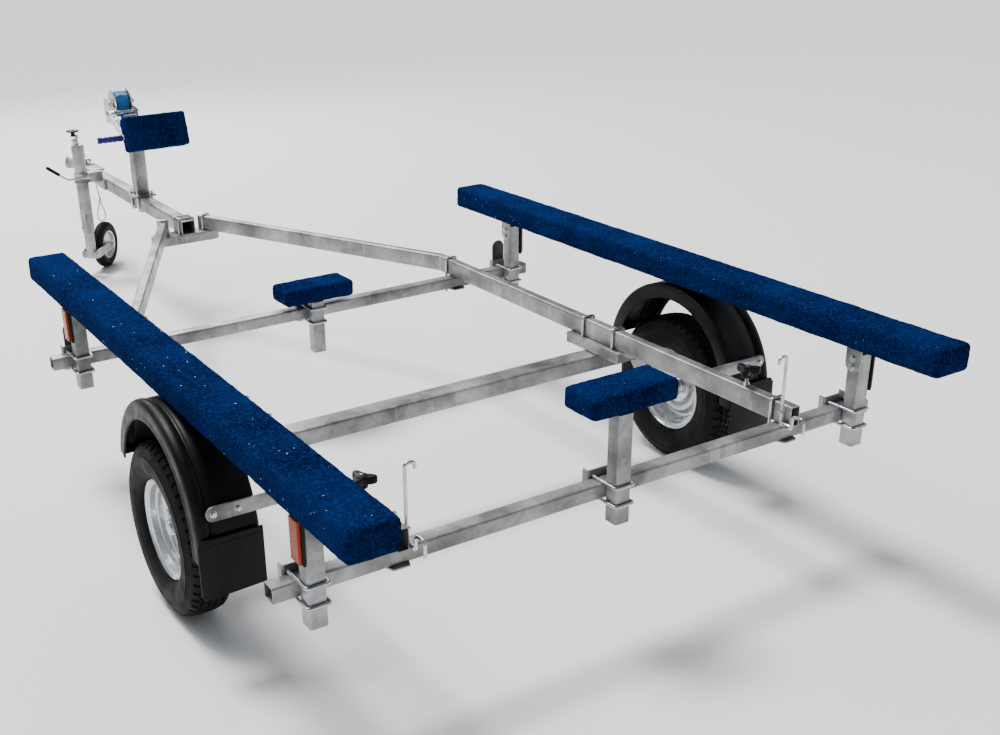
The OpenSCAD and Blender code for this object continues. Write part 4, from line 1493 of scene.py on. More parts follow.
@dataclass
class RoadWheels:
    """Tyres, pressed rims and hubs, and the mudguards over them."""

    finishes: Finishes
    hardware: Hardware
    x: float = 878.0
    z: float = 243.0
    tyre_d: float = 486.0
    rim_w: float = 86.0
    segments: int = 144
    guard_y: float = -44.0
    guard_z: float = 325.0
    guard_r: float = 296.0
    guard_sweep: float = 172.0

    @property
    def centre(self) -> Point:
        """Middle of the right wheel."""
        return (self.x, 0.0, self.z)

    def pair(self, name: str, obj: Piece, slot: Slot, node: Optional[str],
             turning: bool = True) -> None:
        """Dress a right-hand piece and its mirror image, each on its own body.

        Args:
            name: start of both pieces' names.
            obj: piece for the right-hand wheel.
            slot: material slot of the finish.
            node: start of the CAD node names it stands for, if any.
            turning: whether it turns with the wheel.
        """
        left = Bench.copy(obj, Matrix.Scale(-1, 4, (1, 0, 0)))
        for piece, side in ((obj, "right"), (left, "left")):
            piece.name = piece.data.name = f"{name}_{side}_piece"
            body = f"wheel_{side}" if turning else "frame"
            self.finishes.dress(piece, slot, body, *([f"{node}_{side}"] if node else []))

    def tyre(self) -> Piece:
        """A road tyre: bead, ringed side walls, cut shoulders and grooved tread.

        Returns:
            The tyre of the right-hand wheel.
        """
        r = self.tyre_d / 2
        side = [(127, 31.5), (134, 34.5), (139.5, 38), (142, 45), (145, 51), (149, 55), (154, 57.2),
                (156, 58.8), (159, 59.6), (162, 59.9), (164, 61.5), (170, 63.2), (178, 65.1),
                (186, 65.9), (193, 65.8), (200, 65.0), (202, 65.9), (205, 65.5), (207, 63.4),
                (214, 60.4), (220, 57.2), (222, 57.6), (229, 53.5), (234, 49.6), (238, 44.5),
                (r - 3.2, 38.0), (r - 2.0, 33.0), (r - 8.5, 32.4), (r - 8.5, 28.6), (r - 1.6, 28.0),
                (r - 0.5, 20.0), (r - 0.2, 12.0), (r - 7.5, 11.4), (r - 7.5, 7.6), (r, 7.0)]
        ring = side + [(a, -h) for a, h in reversed(side)]
        tyre = Bench.lathe("tyre", ring, self.centre, (1, 0, 0), self.segments, closed=True,
                           smooth=38)
        middle = Yard.at(*self.centre)
        step = math.tau / self.segments

        def place(face: bmesh.types.BMFace) -> tuple[float, float, int]:
            """Radius, distance from the middle plane and segment of a face."""
            c = face.calc_center_median() - middle
            return math.hypot(c.y, c.z) / MM, abs(c.x) / MM, int(math.atan2(c.z, c.y) / step + 1000)

        def shoulder(face: bmesh.types.BMFace) -> bool:
            """Faces of the shoulder between two lugs."""
            far, out, index = place(face)
            return 228 < far < r - 2 and 38 < out < 52 and index % 3 == 0

        def rib(face: bmesh.types.BMFace) -> bool:
            """Faces of the tread ribs that carry a cross cut."""
            far, out, index = place(face)
            return far > r - 3.5 and out < 38 and (index + int(out / 12)) % 2 == 0

        Bench.pick(tyre, Pick.FACE, shoulder)
        bpy.ops.mesh.inset(thickness=0.6 * MM, depth=-3.2 * MM, use_individual=False)
        bpy.ops.object.mode_set(mode="OBJECT")
        Bench.pick(tyre, Pick.FACE, rib)
        bpy.ops.mesh.inset(thickness=3.2 * MM, depth=-3.0 * MM, use_individual=True)
        bpy.ops.object.mode_set(mode="OBJECT")
        Bench.focus(tyre)
        bpy.ops.object.shade_smooth_by_angle(angle=math.radians(38))
        return tyre

    def rim(self) -> Piece:
        """A deep pressed rim with a dished disc.

        Returns:
            The rim of the right-hand wheel.
        """
        w = self.rim_w / 2
        out = [(31.2, 8), (59, 8), (62, 7), (66, 4), (72, 1), (84, -2), (89, 0.5), (94, 6),
               (99, 8.6), (105, 8.6), (109, 7.8), (112, 8.6), (113, 12), (113.5, 18), (117, 20.5),
               (122, 22), (123, 26), (123.3, w - 6), (126, w - 4.2), (132, w - 2), (135, w + 1.2),
               (137, w + 2.8), (139, w + 1.6), (140, w - 1), (139, w - 5), (134, w - 7),
               (127.5, w - 9.5), (126.5, 22), (117.5, 15)]
        back = [(117.5, -14), (126.5, -18), (127.5, -w + 10), (134, -w + 7), (139, -w + 5),
                (140, -w + 1), (138, -w - 2.2), (135, -w - 2.4), (132, -w + 2), (123, -w + 5),
                (122, -22), (113, -18), (112, -6), (106, 4), (99, 5), (96, 2), (84, -6), (70, -3),
                (64, 0), (58, 4), (31.2, 4)]
        rim = Bench.lathe("rim", out + back, self.centre, (1, 0, 0), 96, closed=True, smooth=32)
        bolts = []
        for i in range(4):
            a = math.tau * (i + 0.5) / 4
            bolts.append(self.hardware.nut("wheel_bolt",
                                           (self.x + 8, 44 * math.cos(a),
                                            self.z + 44 * math.sin(a)), (1, 0, 0), 19, 11,
                                           washer=True))
        a = math.radians(150)
        foot = (self.x + 14, 119 * math.cos(a), self.z + 119 * math.sin(a))
        self.valve(foot, a)
        rest = Bench.join("wheel_bolts", bolts)
        self.pair("wheel_bolts", rest, Slot.ZINC, None)
        return rim

    def valve(self, foot: Point, a: float) -> None:
        """Rubber tyre valve with its cap, standing out of the rim.

        Args:
            foot: where the stem leaves the rim, in millimetres.
            a: angle of the stem's place round the wheel, in radians.
        """
        tip = (foot[0] + 34, foot[1] - 9 * math.cos(a), foot[2] - 9 * math.sin(a))
        way = Vector(tip) - Vector(foot)
        stem = Bench.lathe("valve", [(7, 0), (7.4, 2), (5, 5), (4.2, 14), (4.2, 20), (5, 21),
                                     (5.2, 31), (4.4, 33)], foot, tuple(way), 16, smooth=30)
        self.pair("valve", stem, Slot.BLACK, None)

    def hub(self) -> Piece:
        """Turned hub with its flange, a pilot rim and a pressed dust cap.

        Returns:
            The hub of the right-hand wheel.
        """
        profile = [(15.2, -60), (29, -60), (31, -58), (31, -36), (28.5, -34), (28.5, -12),
                   (31, -10), (54, -10), (56, -8), (56, 2.5), (54.8, 3.7), (31.0, 3.7), (29.5, 5),
                   (27.5, 8), (25.4, 8.5), (25.4, 14), (24.2, 15), (24.2, 17), (23, 18.5),
                   (22.6, 27), (21, 31), (17, 33.4), (8, 34.4), (0, 34.6)]
        return Bench.lathe("hub", profile, self.centre, (1, 0, 0), 64, smooth=35)

    def guard(self) -> Piece:
        """Moulded mudguard: flat crown, groove, rounded shoulder and rolled lip, with its flap.

        Returns:
            The mudguard of the right-hand wheel.
        """
        r, inner, outer = self.guard_r, -96.0, 68.0
        skin = [(r - 50, inner + 3), (r - 49, inner + 0.6), (r - 40, inner), (r - 14, inner),
                (r - 8, inner + 1.4), (r - 4.2, inner + 5), (r - 3, inner + 11),
                (r - 3, inner + 30), (r - 3, inner + 80), (r - 3, outer - 48), (r - 5, outer - 44),
                (r - 8, outer - 41.5), (r - 8.4, outer - 38.5), (r - 5, outer - 35),
                (r - 1.5, outer - 30), (r - 0.2, outer - 24), (r - 0.4, outer - 18),
                (r - 2.5, outer - 10), (r - 6, outer - 5), (r - 11, outer - 1.8),
                (r - 18, outer - 0.2), (r - 30, outer), (r - 40, outer), (r - 43, outer + 1.4),
                (r - 47, outer + 2.2), (r - 51, outer + 0.6), (r - 52, outer - 3)]
        start = math.radians(104 - 90)
        Bench.clear()
        bpy.ops.mesh.primitive_circle_add(vertices=len(skin), radius=MM, fill_type="NOTHING")
        guard = bpy.context.object
        guard.name = "guard"
        for vert, (radius, across) in zip(guard.data.vertices, skin):
            vert.co = Yard.at(self.x + across, self.guard_y + radius * math.cos(start),
                              self.guard_z + radius * math.sin(start))
        last = len(skin) - 1
        Bench.pick(guard, Pick.EDGE, lambda e: {v.index for v in e.verts} == {0, last})
        bpy.ops.mesh.delete(type="EDGE")
        bpy.ops.mesh.select_all(action="SELECT")
        Bench.swing(72, math.radians(self.guard_sweep), Yard.at(self.x, self.guard_y, self.guard_z),
                    (1, 0, 0))
        bpy.ops.object.mode_set(mode="OBJECT")
        Bench.recalculate(guard)
        Bench.modify(guard, "SOLIDIFY", thickness=4 * MM, offset=-1)
        Bench.recalculate(guard)
        Bench.soften(guard, 0, smooth=45)
        y = self.guard_y - self.guard_r
        z = self.guard_z
        outline = [(self.x + inner - 2, z - 112), (self.x + outer - 8, z - 118),
                   (self.x + outer + 1, z - 114), (self.x + outer + 6, z - 104),
                   (self.x + outer + 6, z + 30), (self.x + outer - 6, z + 46),
                   (self.x + inner - 2, z + 46)]
        stand = Matrix(((1, 0, 0, 0), (0, 0, 1, 0), (0, 1, 0, 0), (0, 0, 0, 1)))
        flap = Bench.plate("flap", outline, 5, Matrix.Translation(Yard.at(0, y - 7, 0)) @ stand,
                           1.6, 3)
        rib = Bench.box("rib", (self.x + inner + 12, y - 8.2, z + 24),
                        (self.x + outer - 20, y - 4, z + 30), 1.6, 3)
        nose_y = self.guard_y + (r - 8) * math.cos(start)
        nose_z = self.guard_z + (r - 8) * math.sin(start)
        tab = Bench.box("tab", (self.x + inner + 2, nose_y - 9, nose_z - 16),
                        (self.x + outer - 6, nose_y + 4, nose_z + 3), 2.5, 3)
        return Bench.join("guard", [guard, flap, rib, tab])

    def build(self) -> None:
        """Build both wheels and mudguards."""
        self.pair("tyre", self.tyre(), Slot.TYRE, "tyre")
        self.pair("rim", self.rim(), Slot.RIM, "rim")
        self.pair("hub", self.hub(), Slot.ZINC, "hub")
        self.pair("guard", self.guard(), Slot.BLACK, "guard", turning=False)


@dataclass
class Padding:
    """Carpet-wrapped bunks, keel pads and bow pad."""

    finishes: Finishes
    cell: float = 7.0
    nap: float = 1.6
    fleck_seed: int = 7

    def wrap(self, name: str, low: Point, high: Point, corner: float, cell: float) -> Piece:
        """A board wrapped in carpet: rounded, softly uneven and fuzzy.

        Args:
            name: object name.
            low: lowest corner.
            high: highest corner.
            corner: radius of the wrapped edges.
            cell: size of the mesh's cells, in millimetres.

        Returns:
            The wrapped board.
        """
        pad = Bench.box(name, low, high, corner, 4)
        Bench.modify(pad, "REMESH", mode="VOXEL", voxel_size=cell * MM, use_smooth_shade=True)
        lumps = bpy.data.textures.new(f"{name}_lumps", "CLOUDS")
        lumps.noise_scale, lumps.noise_depth = 0.055, 2
        Bench.modify(pad, "DISPLACE", texture=lumps, texture_coords="LOCAL", strength=3.2 * MM,
                     mid_level=0.52)
        fuzz = bpy.data.textures.new(f"{name}_fuzz", "CLOUDS")
        fuzz.noise_scale, fuzz.noise_depth = 0.011, 3
        Bench.modify(pad, "DISPLACE", texture=fuzz, texture_coords="LOCAL",
                     strength=self.nap * 1.6 * MM, mid_level=0.5)
        Bench.focus(pad)
        bpy.ops.object.shade_smooth()
        return pad

    def staples(self, name: str, low: Point, high: Point, count: int, seed: int) -> Piece:
        """Small bright staples and lint along a board's top and sides.

        Args:
            name: name of the finished object.
            low: lower corner, in millimetres.
            high: upper corner, in millimetres.
            count: how many are scattered.
            seed: seed of the random places.

        Returns:
            The scattered flecks as one object.
        """
        rng = random.Random(seed)
        parts = []
        for _ in range(count):
            top = rng.random() < 0.5
            y = rng.uniform(low[1] + 15, high[1] - 15)
            if top:
                spot = (rng.uniform(low[0] + 10, high[0] - 10), y, high[2] + 0.1)
                face = Matrix.Identity(4)
            else:
                side = rng.choice((low[0] - 0.1, high[0] + 0.1))
                spot = (side, y, rng.uniform(low[2] + 12, high[2] - 10))
                face = Matrix.Rotation(math.pi / 2, 4, "Y")
            length = rng.uniform(2.0, 4.5)
            bpy.ops.mesh.primitive_cube_add(size=1)
            fleck = bpy.context.object
            fleck.scale = (length * MM, 0.9 * MM, 0.9 * MM)
            Bench.settle(fleck)
            spin = Matrix.Rotation(rng.uniform(0, 3.1), 4, "Z")
            fleck.data.transform(Matrix.Translation(Yard.at(*spot)) @ face @ spin)
            parts.append(fleck)
        return Bench.join(name, parts)

    def board(self, name: str, low: Point, high: Point, cell: float, count: int,
              place: Optional[Matrix] = None) -> Piece:
        """One wrapped board with its staples, ready to dress.

        Args:
            name: name of the finished object.
            low: lower corner, in millimetres.
            high: upper corner, in millimetres.
            cell: size of the cloth cells, in millimetres.
            count: how many are scattered.
            place: turn and move given to the board, if any.

        Returns:
            The carpet, not yet dressed.
        """
        pad = self.wrap(f"{name}_carpet", low, high, 13.0, cell)
        flecks = self.staples(f"{name}_staples", low, high, count, self.fleck_seed + len(name))
        if place is not None:
            pad.data.transform(place)
            flecks.data.transform(place)
        self.finishes.dress(flecks, Slot.ZINC, "frame")
        return pad

    def build(self) -> None:
        """Wrap every board and pad."""
        shy = -1.6
        for side in ("left", "right"):
            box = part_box(f"bunk_{side}")
            low = (box[0].x / MM + shy, (box[0].y - Yard.axle_y) / MM + shy, box[0].z / MM + shy)
            high = (box[1].x / MM - shy, (box[1].y - Yard.axle_y) / MM - shy, box[1].z / MM - shy)
            pad = self.board(f"bunk_{side}", low, high, self.cell, 60)
            self.finishes.dress(pad, Slot.CARPET, "frame", f"bunk_{side}")
        pads = []
        for name, cx, cy, top in (("keel_front", 12, 958.5, 516), ("keel_rear", 32, -711.5, 684)):
            low = (cx - 131 + shy, cy - 61.5 + shy, top - 56 + shy)
            high = (cx + 131 - shy, cy + 61.5 - shy, top - shy)
            pads.append(self.board(name, low, high, 4.5, 10))
        both = self.finishes.dress(Bench.join("keel_pads_carpet", pads), Slot.CARPET, "frame",
                                   "keel_pads")
        lean = Matrix.Translation(Yard.at(69, 2682.5, 779)) @ Matrix.Rotation(-math.radians(16), 4,
                "X")
        y0 = -Yard.axle_y / MM
        bow = self.board("bow", (-143 + shy, y0 - 76 + shy, -74.5 + shy),
                         (143 - shy, y0 - shy, 74.5 - shy), 4.0, 14, lean)
        self.finishes.dress(bow, Slot.CARPET, "frame", "bow_pad")


@dataclass
class Winch:
    """Post on the drawbar with its hand winch, wound strap and crank."""

    finishes: Finishes
    chassis: Chassis
    hardware: Hardware
    post_y: float = 2700.0
    post_w: float = 60.0
    post_top: float = 850.0
    drum: tuple[float, float] = (2895.0, 892.0)
    pinion: tuple[float, float] = (2820.0, 864.0)
    crank_end: tuple[float, float] = (2639.6, 779.9)
    gear_teeth: int = 65
    pinion_teeth: int = 14

    def across(self, x: float, at: tuple[float, float]) -> Point:
        """A place at a distance across, on an axis given by its Y and Z."""
        return (x, at[0], at[1])

    def gear(self, name: str, at: tuple[float, float], x: float, thick: float, outer: float,
             depth: float, teeth: int) -> Piece:
        """A toothed disc that turns about X.

        Args:
            name: object name.
            at: Y and Z of its axis.
            x: place of its left face.
            thick: thickness.
            outer: radius over the teeth.
            depth: depth of the teeth.
            teeth: number of teeth.

        Returns:
            The gear.
        """
        outline = []
        for i in range(teeth):
            for share, radius in ((0.00, outer - depth), (0.22, outer - depth), (0.36, outer),
                                  (0.64, outer), (0.78, outer - depth)):
                a = math.tau * (i + share) / teeth
                outline.append((radius * math.cos(a), radius * math.sin(a)))
        place = Matrix.Translation(Yard.at(x, at[0], at[1])) @ UPRIGHT
        return Bench.plate(name, outline, thick, place, 0.25, 1)

    def post(self) -> None:
        """Square post, its base plate and the bracket behind the bow pad."""
        c = self.chassis
        mid = self.post_y + self.post_w / 2
        seat = c.rail_z + c.drawbar_w + 0.6
        tube = c.tube("post", (0, mid, seat + 6), (0, mid, self.post_top), (1, 0, 0), self.post_w,
                      self.post_w, 4.0, 7.0)
        base = Bench.box("base", (-54, self.post_y - 26, seat),
                         (54, self.post_y + self.post_w + 26, seat + 7), 2.0, 3)
        lip = Bench.lathe("weld", [(43, 0), (41.5, 3), (38, 5.5)], (0, mid, seat + 6.5), (0, 0, 1),
                          4)
        lip.data.transform(Matrix.Translation(Yard.at(0, mid, 0)) @ Matrix.Rotation(math.pi / 4, 4,
                "Z") @ Matrix.Translation(-Yard.at(0, mid, 0)))
        lean = Matrix.Translation(Yard.at(0, 2682.5, 779)) @ Matrix.Rotation(-math.radians(16), 4,
                "X")
        y0 = -Yard.axle_y / MM
        back = Bench.box("bracket", (-26, y0 + 0.4, -56), (26, y0 + 5, 56), 1.5, 3)
        back.data.transform(lean)
        wings = []
        for x in (-26, 21):
            wing = Bench.plate("wing", [(self.post_y - 20, 735), (self.post_y - 1, 722),
                                        (self.post_y - 1, 818), (self.post_y - 6, 818)], 5,
                               Matrix.Translation(Yard.at(x, 0, 0)) @ Matrix(((0, 0, 1, 0),
                    (1, 0, 0, 0), (0, 1, 0, 0), (0, 0, 0, 1))), 0.8)
            wings.append(wing)
        steel = Bench.join("winch_post_steel", [tube, base, lip, back] + wings)
        self.finishes.dress(steel, Slot.GALVANISED, "frame", "winch_post")
        flip = Matrix.Rotation(math.pi, 4, "X")
        bolt = self.hardware.ubolt("ubolt", c.drawbar_w, c.drawbar_w + 0.6, 26, 7)
        seats = [Matrix.Translation(Yard.at(0, y, seat)) @ flip
                 for y in (self.post_y - 15, self.post_y + 75)]
        self.finishes.dress(Bench.spread("post_base_ubolts", bolt, seats), Slot.ZINC, "frame")

    def cheeks(self) -> None:
        """Folded steel frame of the winch with its rivets and pawl."""
        near = [(2806, 854), (2812, 848), (2856, 842), (2864, 834), (2864, 806), (2870, 800),
                (2976, 800), (2984, 806), (2986, 816), (2986, 896), (2982, 904), (2974, 908),
                (2908, 908), (2895, 911), (2880, 907), (2862, 884), (2816, 884), (2806, 876)]
        far = [(2790, 800), (2930, 800), (2932, 806), (2932, 880), (2912, 905), (2895, 911),
               (2878, 905), (2850, 884), (2812, 884), (2800, 872), (2790, 850)]
        parts = []
        for x, outline in ((-49, near), (44, far)):
            parts.append(Bench.plate("cheek", outline, 5,
                                     Matrix.Translation(Yard.at(x, 0, 0)) @ UPRIGHT, 1.2, 2))
        parts.append(Bench.box("base", (-47, 2762, 800), (47, 2976, 806), 1.5))
        parts.append(Bench.box("back", (-30, 2760.6, 790), (30, 2766, 858), 1.5))
        parts.append(Bench.box("bridge", (-48, 2970, 802), (-14, 2984, 850), 2.0))
        parts.append(Bench.pin("tie", (-46, 2922, 832), (46, 2922, 832), 10))
        for x, way in ((-49, -1), (49, 1)):
            for at, d in ((self.drum, 26), (self.pinion, 22), ((2922, 832), 14), ((2780, 815), 12)):
                end = x + way * (6 if d > 20 else 3.5)
                parts.append(Bench.pin("boss", self.across(x, at), self.across(end, at), d, 28,
                                       1.2))
        steel = Bench.join("winch_cheeks", parts)
        self.finishes.dress(steel, Slot.ZINC, "frame", "winch_frame")
        pawl = [Bench.bar("pawl", [(-47, 2862, 906), (-20, 2854, 938), (34, 2848, 934),
                                   (50, 2850, 900)], 6, 8, 12, 4),
                self.hardware.nut("pawl_nut", (52, 2866, 902), (1, 0, 0), 15, 7)]
        spring = [(50 + 1.5 * math.sin(t), 2866 + 7 * math.cos(t), 878 + 7 * math.sin(t))
                  for t in (math.tau * i / 10 for i in range(9))]
        pawl.append(Bench.bar("spring", spring, 1.6, 1.2, 8, 2))
        self.finishes.dress(Bench.join("winch_pawl", pawl), Slot.ZINC, "frame")

    def spool(self) -> None:
        """Drum with its flange, toothed ring, axle and the wound strap."""
        left = Bench.lathe("flange", [(10, 0), (59, 0), (62, 1), (62, 3), (59, 4), (44, 4),
                                      (42, 2.6), (18, 2.6), (15, 4.4), (10, 4.4)],
                           self.across(-37.4, self.drum), (1, 0, 0), 72, closed=True)
        ring = self.gear("ring", self.drum, 33.6, 4.2, 65.0, 4.0, self.gear_teeth)
        ribs = Bench.lathe("web", [(10, 0), (56, 0), (57, 1.6), (53, 2.2), (34, 2.2), (31, 0.8),
                                   (10, 0.8)], self.across(37.4, self.drum), (1, 0, 0), 72,
                           closed=True)
        holes = []
        for i in range(6):
            a = math.tau * i / 6
            holes.append(Bench.lathe("stud", [(6.5, 0), (6.5, 1.4), (5.2, 2.2), (0, 2.4)],
                                     self.across(-37.2, (self.drum[0] + 30 * math.cos(a),
                    self.drum[1] + 30 * math.sin(a))), (-1, 0, 0), 16))
        axle = Bench.lathe("axle", [(6, 0), (9, 1.5), (10, 2.5), (10, 105), (9, 106.5), (6, 108)],
                           self.across(-54, self.drum), (1, 0, 0), 32)
        nut = self.hardware.nut("axle_nut", self.across(50, self.drum), (1, 0, 0), 22, 5,
                                washer=False)
        steel = Bench.join("winch_spool", [left, ring, ribs, axle, nut] + holes)
        self.finishes.dress(steel, Slot.ZINC, "winch_drum", "winch_drum")
        steps = []
        for side in (-1, 1):
            layers = [(14 + 2.4 * i, 27.2 + (0.9 if i % 2 else 0.0)) for i in range(18)]
            steps.append([(r, side * h) for r, h in layers])
        profile = steps[0] + [(56.0, -22.0), (56.6, 0.0), (56.0, 22.0)] + list(reversed(steps[1]))
        roll = Bench.lathe("winch_wound_strap", profile, self.across(0, self.drum), (1, 0, 0), 72,
                           closed=True, smooth=25)
        self.finishes.dress(roll, Slot.STRAP, "winch_drum", "winch_reel")

    def strap(self) -> None:
        """Strap's hanging end, folded round a steel eye and stitched."""
        tail = Bench.box("tail", (-22, 2836.6, 772), (22, 2839.0, 893), 0.8, 2)
        Bench.modify(tail, "REMESH", mode="VOXEL", voxel_size=1.5 * MM, use_smooth_shade=True)
        wave = bpy.data.textures.new("strap_wave", "CLOUDS")
        wave.noise_scale = 0.03
        Bench.modify(tail, "DISPLACE", texture=wave, texture_coords="LOCAL", direction="Y",
                     strength=1.6 * MM)
        fold = Bench.lathe("fold", [(3.6, -21.5), (6.2, -21.5), (6.2, 21.5), (3.6, 21.5)],
                           (0, 2838.0, 768), (1, 0, 0), 32, closed=True)
        seam = [Bench.box("stitch", (x, 2835.9, z), (x + 3.4, 2836.7, z + 1.2), 0.3, 1)
                for z in (790, 797, 804) for x in range(-18, 17, 5)]
        cloth = Bench.join("winch_strap_end", [tail, fold] + seam)
        self.finishes.dress(cloth, Slot.STRAP, "frame", "winch_strap")
        Bench.clear()
        bpy.ops.mesh.primitive_torus_add(major_segments=40, minor_segments=14,
                                         major_radius=10.5 * MM, minor_radius=1.9 * MM)
        eye = bpy.context.object
        eye.name = "strap_eye"
        eye.matrix_world = Matrix.Translation(Yard.at(0, 2838.7,
                760)) @ Matrix.Rotation(math.pi / 2, 4, "X")
        Bench.settle(eye)
        Bench.soften(eye, 0)
        self.finishes.dress(eye, Slot.ZINC, "frame")

    def crank(self) -> None:
        """Pinion shaft, flat crank arm and the finger-grooved grip."""
        shaft = Bench.lathe("shaft", [(5, 0), (7.4, 1.2), (8, 2), (8, 144), (7, 145.4), (5, 146)],
                            self.across(-86, self.pinion), (1, 0, 0), 28)
        pinion = self.gear("pinion", self.pinion, 32, 8, 14.0, 4.2, self.pinion_teeth)
        dy, dz = self.crank_end[0] - self.pinion[0], self.crank_end[1] - self.pinion[1]
        length = math.hypot(dy, dz)
        turn = math.atan2(dz, dy)
        outline = []
        for i in range(15):
            a = math.pi / 2 + math.pi * i / 14
            outline.append((15 * math.cos(a), 15 * math.sin(a)))
        for i in range(15):
            a = -math.pi / 2 + math.pi * i / 14
            outline.append((length + 11.5 * math.cos(a), 11.5 * math.sin(a)))
        place = Matrix.Translation(Yard.at(-86, self.pinion[0], self.pinion[1])) @ \
            Matrix.Rotation(turn, 4, "X") @ UPRIGHT
        arm = Bench.plate("arm", outline, 6, place, 1.2, 3)
        rod = Bench.pin("rod", self.across(-204, self.crank_end), self.across(-81, self.crank_end),
                        10)
        nut = self.hardware.nut("nut", self.across(-86, self.pinion), (-1, 0, 0), 22, 9)
        steel = Bench.join("winch_crank_steel", [shaft, pinion, arm, rod, nut])
        self.finishes.dress(steel, Slot.ZINC, "winch_crank", "winch_crank")
        profile = [(5.4, 0), (12.5, 0), (14.6, 1.6), (15, 4), (14.2, 8)]
        for i in range(4):
            for j in range(6):
                t = (i + j / 6) / 4
                profile.append((13.6 + 1.4 * math.cos(math.tau * (i + j / 6)), 12 + 88 * t))
        profile += [(13.2, 102), (14.4, 106), (15, 109), (14, 112.6), (11.5, 114), (5.4, 114)]
        grip = Bench.lathe("winch_grip_piece", profile, self.across(-201, self.crank_end),
                           (1, 0, 0), 40, closed=True, smooth=60)
        self.finishes.dress(grip, Slot.GRIP, "winch_crank", "winch_grip")

    def build(self) -> None:
        """Build the post and the winch."""
        self.post()
        self.cheeks()
        self.spool()
        self.strap()
        self.crank()


